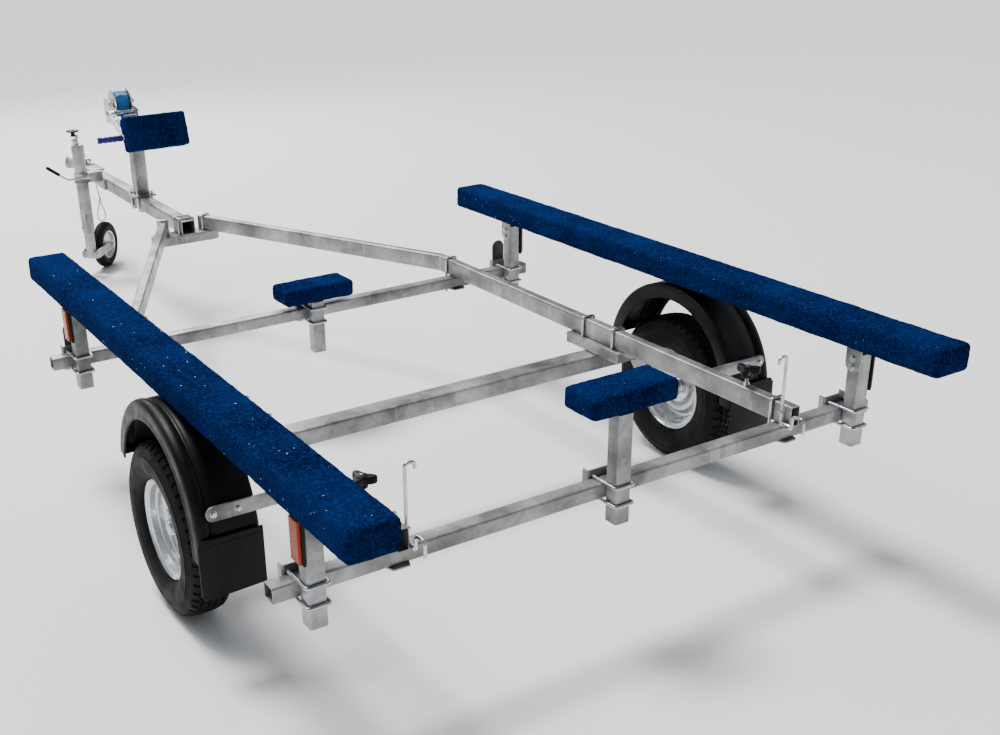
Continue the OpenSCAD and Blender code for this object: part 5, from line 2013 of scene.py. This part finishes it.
@dataclass
class Jockey:
    """Jockey wheel: clamp, lever, outer tube with its winding head, fork and small wheel."""

    finishes: Finishes
    hardware: Hardware
    x: float = -130.0
    y: float = 3240.0
    tube_r: float = 30.0
    clamp_z: float = 476.0
    turn: float = 42.0
    trail: float = 165.0
    wheel_z: float = 116.0

    @property
    def wheel_centre(self) -> Point:
        """Middle of the small wheel."""
        t = math.radians(self.turn)
        return (self.x + self.trail * math.sin(t), self.y + self.trail * math.cos(t), self.wheel_z)

    @property
    def wheel_axis(self) -> Point:
        """Direction of the small wheel's axle."""
        t = math.radians(self.turn)
        return (math.cos(t), -math.sin(t), 0.0)

    def tube(self) -> None:
        """Outer tube with a rolled top and a pressed slot."""
        r = self.tube_r
        outer = [(r - 3, 0), (r - 0.8, 0), (r, 1), (r, 82), (r, 118), (r, 405), (r + 0.0, 428),
                 (r - 0.6, 432), (r - 2, 433), (r - 3.6, 432), (r - 3.8, 428), (r - 3.8, 2)]
        tube = Bench.lathe("jockey_outer_tube", outer, (self.x, self.y, 225), (0, 0, 1), 72,
                           closed=True)
        middle = Yard.at(self.x, self.y, 0)

        def slot(face: bmesh.types.BMFace) -> bool:
            """Faces of the outer skin where the slot is pressed.

            Args:
                face: face to judge.

            Returns:
                Whether it belongs to the slot.
            """
            c = face.calc_center_median() - middle
            return abs(c.z - 0.325) < 0.012 and math.hypot(c.x, c.y) > (r - 1) * MM and \
                abs(math.atan2(c.y, c.x) + math.radians(112)) < math.radians(5)

        Bench.pick(tube, Pick.FACE, slot)
        bpy.ops.mesh.inset(thickness=0.8 * MM, depth=-3 * MM, use_individual=False)
        bpy.ops.object.mode_set(mode="OBJECT")
        bolts = [self.hardware.nut("bolt", (self.x - r * 0.98, self.y - 6, z), (-1, 0, 0), 13, 6)
                 for z in (250, 641)]
        self.finishes.dress(tube, Slot.GALVANISED, "jockey_mast", "jockey_tube")
        self.finishes.dress(Bench.join("jockey_tube_bolts", bolts), Slot.ZINC, "jockey_mast")

    def head(self) -> None:
        """Winding spindle, its bracket, cross bar and the black mushroom knob."""
        x, y = self.x, self.y
        parts = [Bench.lathe("lid", [(0, 0), (24, 0), (29.5, 0.8), (30, 2), (29, 4.4), (24, 5.6),
                                     (12, 6), (0, 6)], (x, y, 658.4), (0, 0, 1), 48),
                 Bench.lathe("spindle", [(11, 0), (11, 3), (8.6, 4.5), (8.6, 34), (10.6, 36),
                                         (10.6, 43), (9, 44)], (x, y, 660.5), (0, 0, 1), 32),
                 Bench.box("bar", (x - 26, y - 9, 702), (x + 12, y + 9, 707), 1.8, 3),
                 Bench.pin("rivet", (x, y, 706), (x, y, 711), 15),
                 self.hardware.nut("cap_nut", (x - 14, y, 730), (0, 0, 1), 15, 8),
                 Bench.box("lug", (x - 25, y - 23, 664), (x - 13, y - 6, 694), 2.0, 3),
                 Bench.pin("lug_pin", (x - 30, y - 14, 684), (x - 4, y - 14, 684), 8),]
        self.finishes.dress(Bench.join("jockey_head", parts), Slot.ZINC, "jockey_mast",
                            "jockey_crank")
        cap = Bench.lathe("jockey_knob", [(0, 0), (10, 0), (12, 1.5), (11, 4), (9.5, 7), (9.5, 12),
                                          (12, 14.5), (20, 16), (28, 18.5), (31.4, 20.5),
                                          (32, 22.5), (30.5, 24.6), (25, 26.4), (14, 28),
                                          (0, 28.6)], (x - 14, y, 707.4), (0, 0, 1), 56, smooth=55)
        self.finishes.dress(cap, Slot.BLACK, "jockey_mast", "jockey_cap")

    def clamp(self) -> None:
        """Split clamp bolted to the drawbar, with its lugs and screws."""
        x, y, z, r = self.x, self.y, self.clamp_z, self.tube_r
        collar = Bench.lathe("collar", [(r + 0.3, 0), (r + 6, 0), (r + 7, 1), (r + 7, 6),
                                        (r + 5.6, 8), (r + 5.6, 40), (r + 7, 42), (r + 7, 47),
                                        (r + 6, 48), (r + 0.3, 48)], (x, y, z), (0, 0, 1), 64,
                             closed=True)
        parts = [collar, Bench.box("block", (x + r + 2, y - 28, z), (x + 99.5, y + 28, z + 48), 3.0,
                                   3), Bench.box("plate", (x + 92, y - 62, z - 42),
                (x + 99.6, y + 62, z + 12), 2.0, 3), Bench.box("lug_a", (x, y - r - 26, z + 22),
                (x + 14, y - r + 2, z + 48), 2.5, 3), Bench.box("lug_b",
                (x + 20, y - r - 26, z + 22), (x + 34, y - r + 2, z + 48), 2.5, 3)]
        self.finishes.dress(Bench.join("jockey_clamp_steel", parts), Slot.GALVANISED, "frame",
                            "jockey_clamp")
        screws = [self.hardware.nut("screw", (x + 92, y + s * 46, z - 14), (-1, 0, 0), 19, 8)
                  for s in (-1, 1)]
        screws.append(self.hardware.nut("screw", (x + 34, y - r - 14, z + 35), (1, 0, 0), 17, 8))
        self.finishes.dress(Bench.join("jockey_clamp_screws", screws), Slot.ZINC, "frame")

    def lever(self) -> None:
        """Cranked clamping lever with a black sleeve on its end."""
        x, y, z = self.x, self.y - self.tube_r - 34, self.clamp_z + 35
        tilt = math.radians(38)
        bend = (x - 87, y, z)
        knee = (x - 87 - 52 * math.cos(tilt), y, z + 52 * math.sin(tilt))
        tip = (x - 87 - 118 * math.cos(tilt), y, z + 118 * math.sin(tilt))
        parts = [Bench.bar("lever", [(x + 17, y, z), bend, knee], 10, 16, 20, 8),
                 Bench.lathe("boss", [(0, 0), (9, 0), (10, 1), (10, 11), (9, 12), (0, 12)],
                             (x + 17, y + 7.6, z), (0, -1, 0), 32),
                 self.hardware.nut("boss_nut", (x + 17, y - 4.4, z), (0, -1, 0), 16, 5,
                                   washer=False)]
        self.finishes.dress(Bench.join("clamp_lever_steel", parts), Slot.ZINC, "frame",
                            "clamp_lever")
        way = Vector(tip) - Vector(knee)
        length = way.length
        sleeve = Bench.lathe("clamp_lever_grip", [(5, -6), (7.4, -6), (8.2, -4.6), (8.0, 4),
                (8.4, length * 0.5), (8.2, length - 4), (6.6, length - 0.6), (0, length)], knee,
                             tuple(way), 28, smooth=50)
        self.finishes.dress(sleeve, Slot.BLACK, "frame")

    def fork(self) -> None:
        """Inner tube with the wheel's fork."""
        steel = Bench.dressed("jockey_fork_steel", "jockey_stem", 1.4, 3)
        self.finishes.dress(steel, Slot.GALVANISED, "jockey_fork", "jockey_stem")
        c, a = self.wheel_centre, Vector(self.wheel_axis)
        nuts = [self.hardware.nut("axle_nut", tuple(Vector(c) + a * s * 41.2), tuple(a * s), 19, 8)
                for s in (-1, 1)]
        self.finishes.dress(Bench.join("jockey_axle_nuts", nuts), Slot.ZINC, "jockey_fork")

    def wheel(self) -> None:
        """Solid rubber tyre on a pressed two-piece rim."""
        side = [(70.4, 22), (74, 24.4), (80, 25.6), (86, 25.9), (92, 24.8), (94, 25.6), (97, 24.6),
                (99, 22.4), (106, 20.5), (111, 17.5), (114, 13), (115.4, 9), (112.6, 8.2),
                (112.6, 5.2), (115.9, 4.4), (116, 0)]
        ring = side + [(r, -h) for r, h in reversed(side[:-1])]
        tyre = Bench.lathe("jockey_tyre_rubber", ring, self.wheel_centre, self.wheel_axis, 96,
                           closed=True, smooth=42)
        self.finishes.dress(tyre, Slot.TYRE, "jockey_wheel", "jockey_tyre")
        half = [(6.3, 27.6), (13, 27.6), (15.4, 26.6), (16, 24), (16.4, 9), (19, 5.5), (26, 4.6),
                (36, 8.2), (44, 8.6), (52, 6.0), (60, 5.4), (62, 8), (62.6, 18), (64.5, 21),
                (68, 22.6), (70, 22)]
        ring = half + [(r, -h) for r, h in reversed(half)]
        rim = Bench.lathe("jockey_rim_steel", ring, self.wheel_centre, self.wheel_axis, 72,
                          closed=True, smooth=38)
        middle, axis = Yard.at(*self.wheel_centre), Vector(self.wheel_axis)

        def window(face: bmesh.types.BMFace) -> bool:
            """Disc faces between two pressed spokes.

            Args:
                face: face to judge.

            Returns:
                Whether it belongs to the window.
            """
            c = face.calc_center_median() - middle
            flat = c - axis * c.dot(axis)
            side_way = axis.cross(UP)
            angle = math.degrees(math.atan2(flat.z, flat.dot(side_way))) % 60
            return 0.027 < flat.length < 0.059 and 16 < angle < 44 and abs(c.dot(axis)) < 0.012

        Bench.pick(rim, Pick.FACE, window)
        bpy.ops.mesh.inset(thickness=1.4 * MM, depth=-2.2 * MM, use_individual=False)
        bpy.ops.object.mode_set(mode="OBJECT")
        Bench.focus(rim)
        bpy.ops.object.shade_smooth_by_angle(angle=math.radians(38))
        self.finishes.dress(rim, Slot.RIM, "jockey_wheel", "jockey_rim")

    def build(self) -> None:
        """Build the jockey wheel."""
        self.tube()
        self.head()
        self.clamp()
        self.lever()
        self.fork()
        self.wheel()


@dataclass
class SafetyCable:
    """Thin wire rope that hangs from the clamp in a loop closed by a crimped sleeve."""

    finishes: Finishes
    d: float = 6.0
    route: tuple = ((-62, 3242, 475.7), (-62, 3242, 460), (-61, 3241, 444), (-59, 3239, 428),
                    (-57, 3236, 412), (-56, 3232, 396), (-58, 3228, 380), (-63, 3224, 364),
                    (-69, 3221, 348), (-75, 3219, 331), (-79, 3218, 313), (-79, 3218, 296),
                    (-73, 3219, 282), (-62, 3220, 275), (-50, 3222, 277), (-41, 3224, 287),
                    (-38, 3227, 302), (-39, 3230, 319), (-43, 3233, 336), (-47, 3236, 352),
                    (-51, 3239, 367))

    def strands(self, path: list[Vector], name: str) -> Piece:
        """Six strands laid round the route, as one mesh.

        Args:
            path: points along the middle of the rope, in metres.
            name: object name.

        Returns:
            The rope.
        """
        Bench.clear()
        bpy.ops.mesh.primitive_circle_add(vertices=18, radius=self.d / 2 * MM, fill_type="NOTHING")
        rope = bpy.context.object
        rope.name = name
        for i, vert in enumerate(rope.data.vertices):
            vert.co = vert.co * (1.0 if i % 3 == 1 else 0.93)
        ahead = (path[1] - path[0]).normalized()
        rope.matrix_world = Matrix.Translation(path[0]) @ Yard.turned(ahead)
        Bench.settle(rope)
        Bench.pick(rope, Pick.EDGE, lambda e: True)
        for a, b, c in zip(path, path[1:], path[2:] + [path[-1] * 2 - path[-2]]):
            bpy.ops.mesh.extrude_edges_move(TRANSFORM_OT_translate={"value": b - a})
            before, after = (b - a).normalized(), (c - b).normalized()
            mesh = bmesh.from_edit_mesh(rope.data)
            turn = before.rotation_difference(after).to_matrix().to_4x4()
            lay = Matrix.Rotation(math.radians(20), 4, after)
            spot = Matrix.Translation(b) @ lay @ turn @ Matrix.Translation(-b)
            for vert in mesh.verts:
                if vert.select:
                    vert.co = spot @ vert.co
            bmesh.update_edit_mesh(rope.data)
        bpy.ops.object.mode_set(mode="OBJECT")
        Bench.pick(rope, Pick.EDGE, lambda e: e.is_boundary)
        bpy.ops.mesh.fill_holes(sides=0)
        Bench.recalculate(rope)
        bpy.ops.object.shade_smooth_by_angle(angle=math.radians(60))
        return rope

    def build(self) -> None:
        knots = [Yard.at(*p) for p in self.route]
        path = []
        for i in range(len(knots) - 1):
            a, b = knots[i], knots[i + 1]
            before = knots[max(i - 1, 0)]
            after = knots[min(i + 2, len(knots) - 1)]
            for k in range(4):
                t = k / 4
                path.append(0.5 * (2 * a + (b - before) * t
                                   + (2 * before - 5 * a + 4 * b - after) * t * t
                                   + (3 * a - before - 3 * b + after) * t ** 3))
        path.append(knots[-1])
        rope = self.strands(path, "safety_wire")
        self.finishes.dress(rope, Slot.CABLE, "frame", "safety_cable")
        sleeve = Bench.lathe("sleeve", [(5.4, 0), (7.6, 0.8), (8.0, 3), (8.0, 19), (7.6, 21.2),
                                        (5.4, 22)], (-56, 3236, 362), (-0.02, -0.42, 1), 24,
                             smooth=45)
        lug = Bench.lathe("lug", [(4, 0), (8.5, 0.4), (8.5, 3.6), (6, 5), (4, 5)], (-62, 3242, 471),
                          (0, 0, 1), 24)
        crimp = Bench.join("safety_wire_sleeve", [sleeve, lug])
        self.finishes.dress(crimp, Slot.ZINC, "frame")


@dataclass
class Fittings:
    """Coupling bolts, knobs, light rods, reflectors and the light lead's clip."""

    finishes: Finishes
    hardware: Hardware
    post_x: float = 840.0
    rail_x: float = 612.0

    def coupling(self) -> None:
        """Bolts that hold the coupling head."""
        bolts = []
        for y in (3430, 3500):
            for s in (-1, 1):
                bolts.append(self.hardware.nut("bolt", (s * 35.6, y, 462), (s, 0, 0), 19, 9))
        self.finishes.dress(Bench.join("coupling_bolts", bolts), Slot.ZINC, "frame")

    def knobs(self) -> None:
        """Three-lobed hand knobs with a hollow top and a bright insert."""
        parts = []
        inserts = []
        for s in (-1, 1):
            centre = (s * self.rail_x, -560.0, 527.0)
            outline = []
            for i in range(96):
                a = math.tau * i / 96
                lobe = 0.5 + 0.5 * math.cos(3 * (a - math.pi / 2))
                outline.append(((17.5 + 19.5 * lobe ** 1.6) * math.cos(a),
                                (17.5 + 19.5 * lobe ** 1.6) * math.sin(a)))
            body = Bench.plate("knob", outline, 20, Matrix.Translation(Yard.at(*centre)), 4.5, 4)
            neck = Bench.lathe("neck", [(10, -11), (14, -10), (15, -6), (16, 1), (0, 2)], centre,
                               (0, 0, 1), 32)
            dome = Bench.lathe("dome", [(15, 19), (14.4, 21.4), (11, 22.6), (0, 23)], centre,
                               (0, 0, 1), 32)
            parts += [body, neck, dome]
            inserts.append(Bench.lathe("insert", [(0, 22.6), (5.5, 22.8), (5.0, 23.8), (0, 24)],
                                       centre, (0, 0, 1), 6))
        self.finishes.dress(Bench.join("rail_knobs_moulding", parts), Slot.BLACK, "frame",
                            "rail_knobs")
        self.finishes.dress(Bench.join("knob_inserts", inserts), Slot.ZINC, "frame")

    def studs(self) -> None:
        """Threaded studs under the knobs with their lock nuts."""
        parts = []
        for s in (-1, 1):
            parts.append(self.hardware.thread("stud", (s * self.rail_x, -560, 491.8),
                                              (s * self.rail_x, -560, 532), 10))
            parts.append(self.hardware.nut("nut", (s * self.rail_x, -560, 491.9), (0, 0, 1), 18, 8))
        self.finishes.dress(Bench.join("knob_studs_steel", parts), Slot.ZINC, "frame", "knob_studs")

    def rods(self) -> None:
        """Bent rods of the light board, each with its sleeve."""
        x = self.rail_x - 25
        hook = [(x, -720, 439), (x, -720, 634), (x - 26, -720, 634), (x - 26, -720, 616)]
        rod = Bench.bar("rod", hook, 9, 9, 16, 8)
        foot = Bench.bar("foot", [(x, -720, 439.2), (x, -759, 439.2), (x, -760, 472),
                                  (x, -800, 478), (x, -800, 435)], 9, 12, 16, 8)
        sleeve = Bench.lathe("sleeve", [(5, 0), (7, 0), (7.6, 1), (7.6, 32), (7, 33.6), (5, 34)],
                             (x, -724, 439.2), (0, -1, 0), 24)
        clip = Bench.box("clip", (x - 8, -727, 470), (x + 8.0, -713, 476), 1.2)
        steel = Bench.both_sides("light_rods_steel", Bench.join("rods", [rod, foot, sleeve, clip]))
        self.finishes.dress(steel, Slot.ZINC, "frame", "light_rods")

    def reflectors(self) -> None:
        """Amber reflectors in raised black frames."""
        bases = []
        lenses = []
        for end in ("front", "rear"):
            low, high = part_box(f"posts_{end}")
            y = (low.y - Yard.axle_y) / MM
            x = self.post_x + 22.5
            back = Bench.box("back", (x + 0.3, y - 4, 489), (x + 8, y + 48, 603), 2.5, 3)
            Bench.pick(back, Pick.FACE, lambda f: f.normal.x > 0.95 and f.calc_area() > 1e-3)
            bpy.ops.mesh.inset(thickness=2.6 * MM, depth=0)
            bpy.ops.mesh.extrude_region_move(TRANSFORM_OT_translate={"value": (-2.0 * MM, 0, 0)})
            bpy.ops.object.mode_set(mode="OBJECT")
            bases.append(back)
            lens = Bench.box("lens", (x + 7, y + 0.4, 493.4), (x + 16, y + 43.6, 598.6), 3.2, 4)
            lenses.append(lens)
            for z in (499, 593):
                lenses.append(Bench.lathe("stud", [(0, 0), (3.4, 0), (3.0, 1.2), (0, 1.6)],
                                          (x + 15.4, y + 22, z), (1, 0, 0), 16))
        base = Bench.both_sides("reflector_frames", Bench.join("bases", bases))
        self.finishes.dress(base, Slot.BLACK, "frame", "reflector_bases")
        self.finishes.dress(Bench.both_sides("reflector_lenses", Bench.join("lenses", lenses)),
                            Slot.AMBER, "frame", "reflectors")

    def stay_bolts(self) -> None:
        """Bright bolts that hold the mudguards to their bars."""
        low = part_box("guard_stays")[0]
        y = (low.y - Yard.axle_y) / MM + 7
        bolts = [self.hardware.nut("bolt", (x, y, 427), (0, -1, 0), 15, 7) for x in (834, 898)]
        self.finishes.dress(Bench.both_sides("guard_bolts", Bench.join("bolts", bolts)), Slot.ZINC,
                            "frame")

    def build(self) -> None:
        """Build the small parts."""
        self.coupling()
        self.knobs()
        self.studs()
        self.rods()
        self.reflectors()
        self.stay_bolts()


@dataclass
class Dressed:
    """Pieces whose CAD shape is right: merged, edge-rounded copies of their nodes."""

    finishes: Finishes
    pieces: tuple = (("coupling_head", Slot.GALVANISED, "frame", 1.6),
                     ("coupling_handle", Slot.ZINC, "frame", 2.0),
                     ("front_plates", Slot.GREY, "frame", 0.8), )

    def build(self) -> None:
        """Dress each of these pieces."""
        for node, slot, body, round_mm in self.pieces:
            self.finishes.dress(Bench.dressed(f"{node}_piece", node, round_mm), slot, body, node)


@dataclass
class Studio:
    """Camera, soft lights and a plain floor."""

    eye: Point = (-1.7965, -4.2909, 1.8164)
    yaw: float = 30.74
    pitch: float = -23.224
    roll: float = -1.433
    lens: float = 44.577
    shift: tuple[float, float] = (0.0712, 0.0431)

    def camera(self) -> None:
        """Place the camera."""
        yaw, pitch, roll = (math.radians(a) for a in (self.yaw, self.pitch, self.roll))
        ahead = Vector((math.sin(yaw) * math.cos(pitch), math.cos(yaw) * math.cos(pitch),
                        math.sin(pitch)))
        level = Vector((math.cos(yaw), -math.sin(yaw), 0))
        above = level.cross(ahead)
        right = level * math.cos(roll) + above * math.sin(roll)
        top = above * math.cos(roll) - level * math.sin(roll)
        data = bpy.data.cameras.new("camera")
        data.lens, data.sensor_width = self.lens, 36.0
        data.shift_x, data.shift_y = self.shift
        data.clip_end = 100.0
        camera = bpy.data.objects.new("camera", data)
        bpy.context.scene.collection.objects.link(camera)
        turn = Matrix((right, top, -ahead)).transposed().to_4x4()
        camera.matrix_world = Matrix.Translation(Vector(self.eye)) @ turn
        bpy.context.scene.camera = camera

    def lamp(self, name: str, place: Point, aim: Point, size: float, power: float,
             colour: tuple = (1.0, 1.0, 1.0)) -> None:
        """A square soft light aimed at a point.

        Args:
            name: the light's name.
            place: where it stands, in metres.
            aim: point it faces, in metres.
            size: side of the square, in metres.
            power: power, in watts.
            colour: colour of the light.
        """
        data = bpy.data.lights.new(name, "AREA")
        data.size, data.energy, data.color = size, power, colour
        lamp = bpy.data.objects.new(name, data)
        bpy.context.scene.collection.objects.link(lamp)
        way = Vector(aim) - Vector(place)
        lamp.matrix_world = Matrix.Translation(Vector(place)) @ way.to_track_quat("-Z",
                "Y").to_matrix().to_4x4()

    def sun(self, way: Point, strength: float, softness: float) -> None:
        """One broad overhead light that falls evenly on the whole floor.

        Args:
            way: way the light travels.
            strength: strength, in watts per square metre.
            softness: the sun's apparent width, in degrees.
        """
        data = bpy.data.lights.new("overhead", "SUN")
        data.energy, data.angle = strength, math.radians(softness)
        lamp = bpy.data.objects.new("overhead", data)
        bpy.context.scene.collection.objects.link(lamp)
        lamp.matrix_world = Vector(way).to_track_quat("-Z", "Y").to_matrix().to_4x4()

    def floor(self) -> None:
        """A large pale floor under the wheels."""
        Bench.clear()
        bpy.ops.mesh.primitive_plane_add(size=90, location=(0, 0, -0.0005))
        ground = bpy.context.object
        ground.name = "floor"
        Bench.settle(ground)
        paint = Paint("floor_paint").set(Base_Color=(0.84, 0.84, 0.83, 1), Roughness=0.85)
        ground.data.materials.append(paint.material)

    def build(self) -> None:
        """Set up camera, lights, sky and floor."""
        self.camera()
        self.floor()
        self.sun((0.10, -0.40, -0.91), 4.3, 18.0)
        self.lamp("key", (-2.6, 1.2, 5.5), (0, 0, 0.4), 2.6, 150.0)
        self.lamp("fill", (5.5, -3.0, 3.0), (0, 0, 0.4), 3.5, 30.0, (0.93, 0.96, 1.0))
        self.lamp("rim", (1.0, 6.0, 4.0), (0, 0.5, 0.6), 3.5, 260.0)
        world = bpy.data.worlds.new("sky")
        bpy.context.scene.world = world
        world.use_nodes = True
        back = world.node_tree.nodes["Background"]
        back.inputs["Color"].default_value = (0.86, 0.91, 1.0, 1)
        back.inputs["Strength"].default_value = 0.34


def main() -> None:
    """Build the scene, sub-assembly by sub-assembly."""
    logging.basicConfig(level=logging.INFO, format="%(name)s %(message)s", stream=sys.stdout)
    Studio().build()
    finishes = Finishes()
    hardware = Hardware()
    chassis = Chassis(finishes)
    builders = [chassis, Clamps(finishes, chassis, hardware),
                Underbody(finishes, chassis, hardware), RoadWheels(finishes, hardware),
                Padding(finishes), Winch(finishes, chassis, hardware), Jockey(finishes, hardware),
                SafetyCable(finishes), Fittings(finishes, hardware), Dressed(finishes)]
    for builder in builders:
        builder.build()
        LOG.info("%s done", type(builder).__name__)


if __name__ == "__main__":
    main()
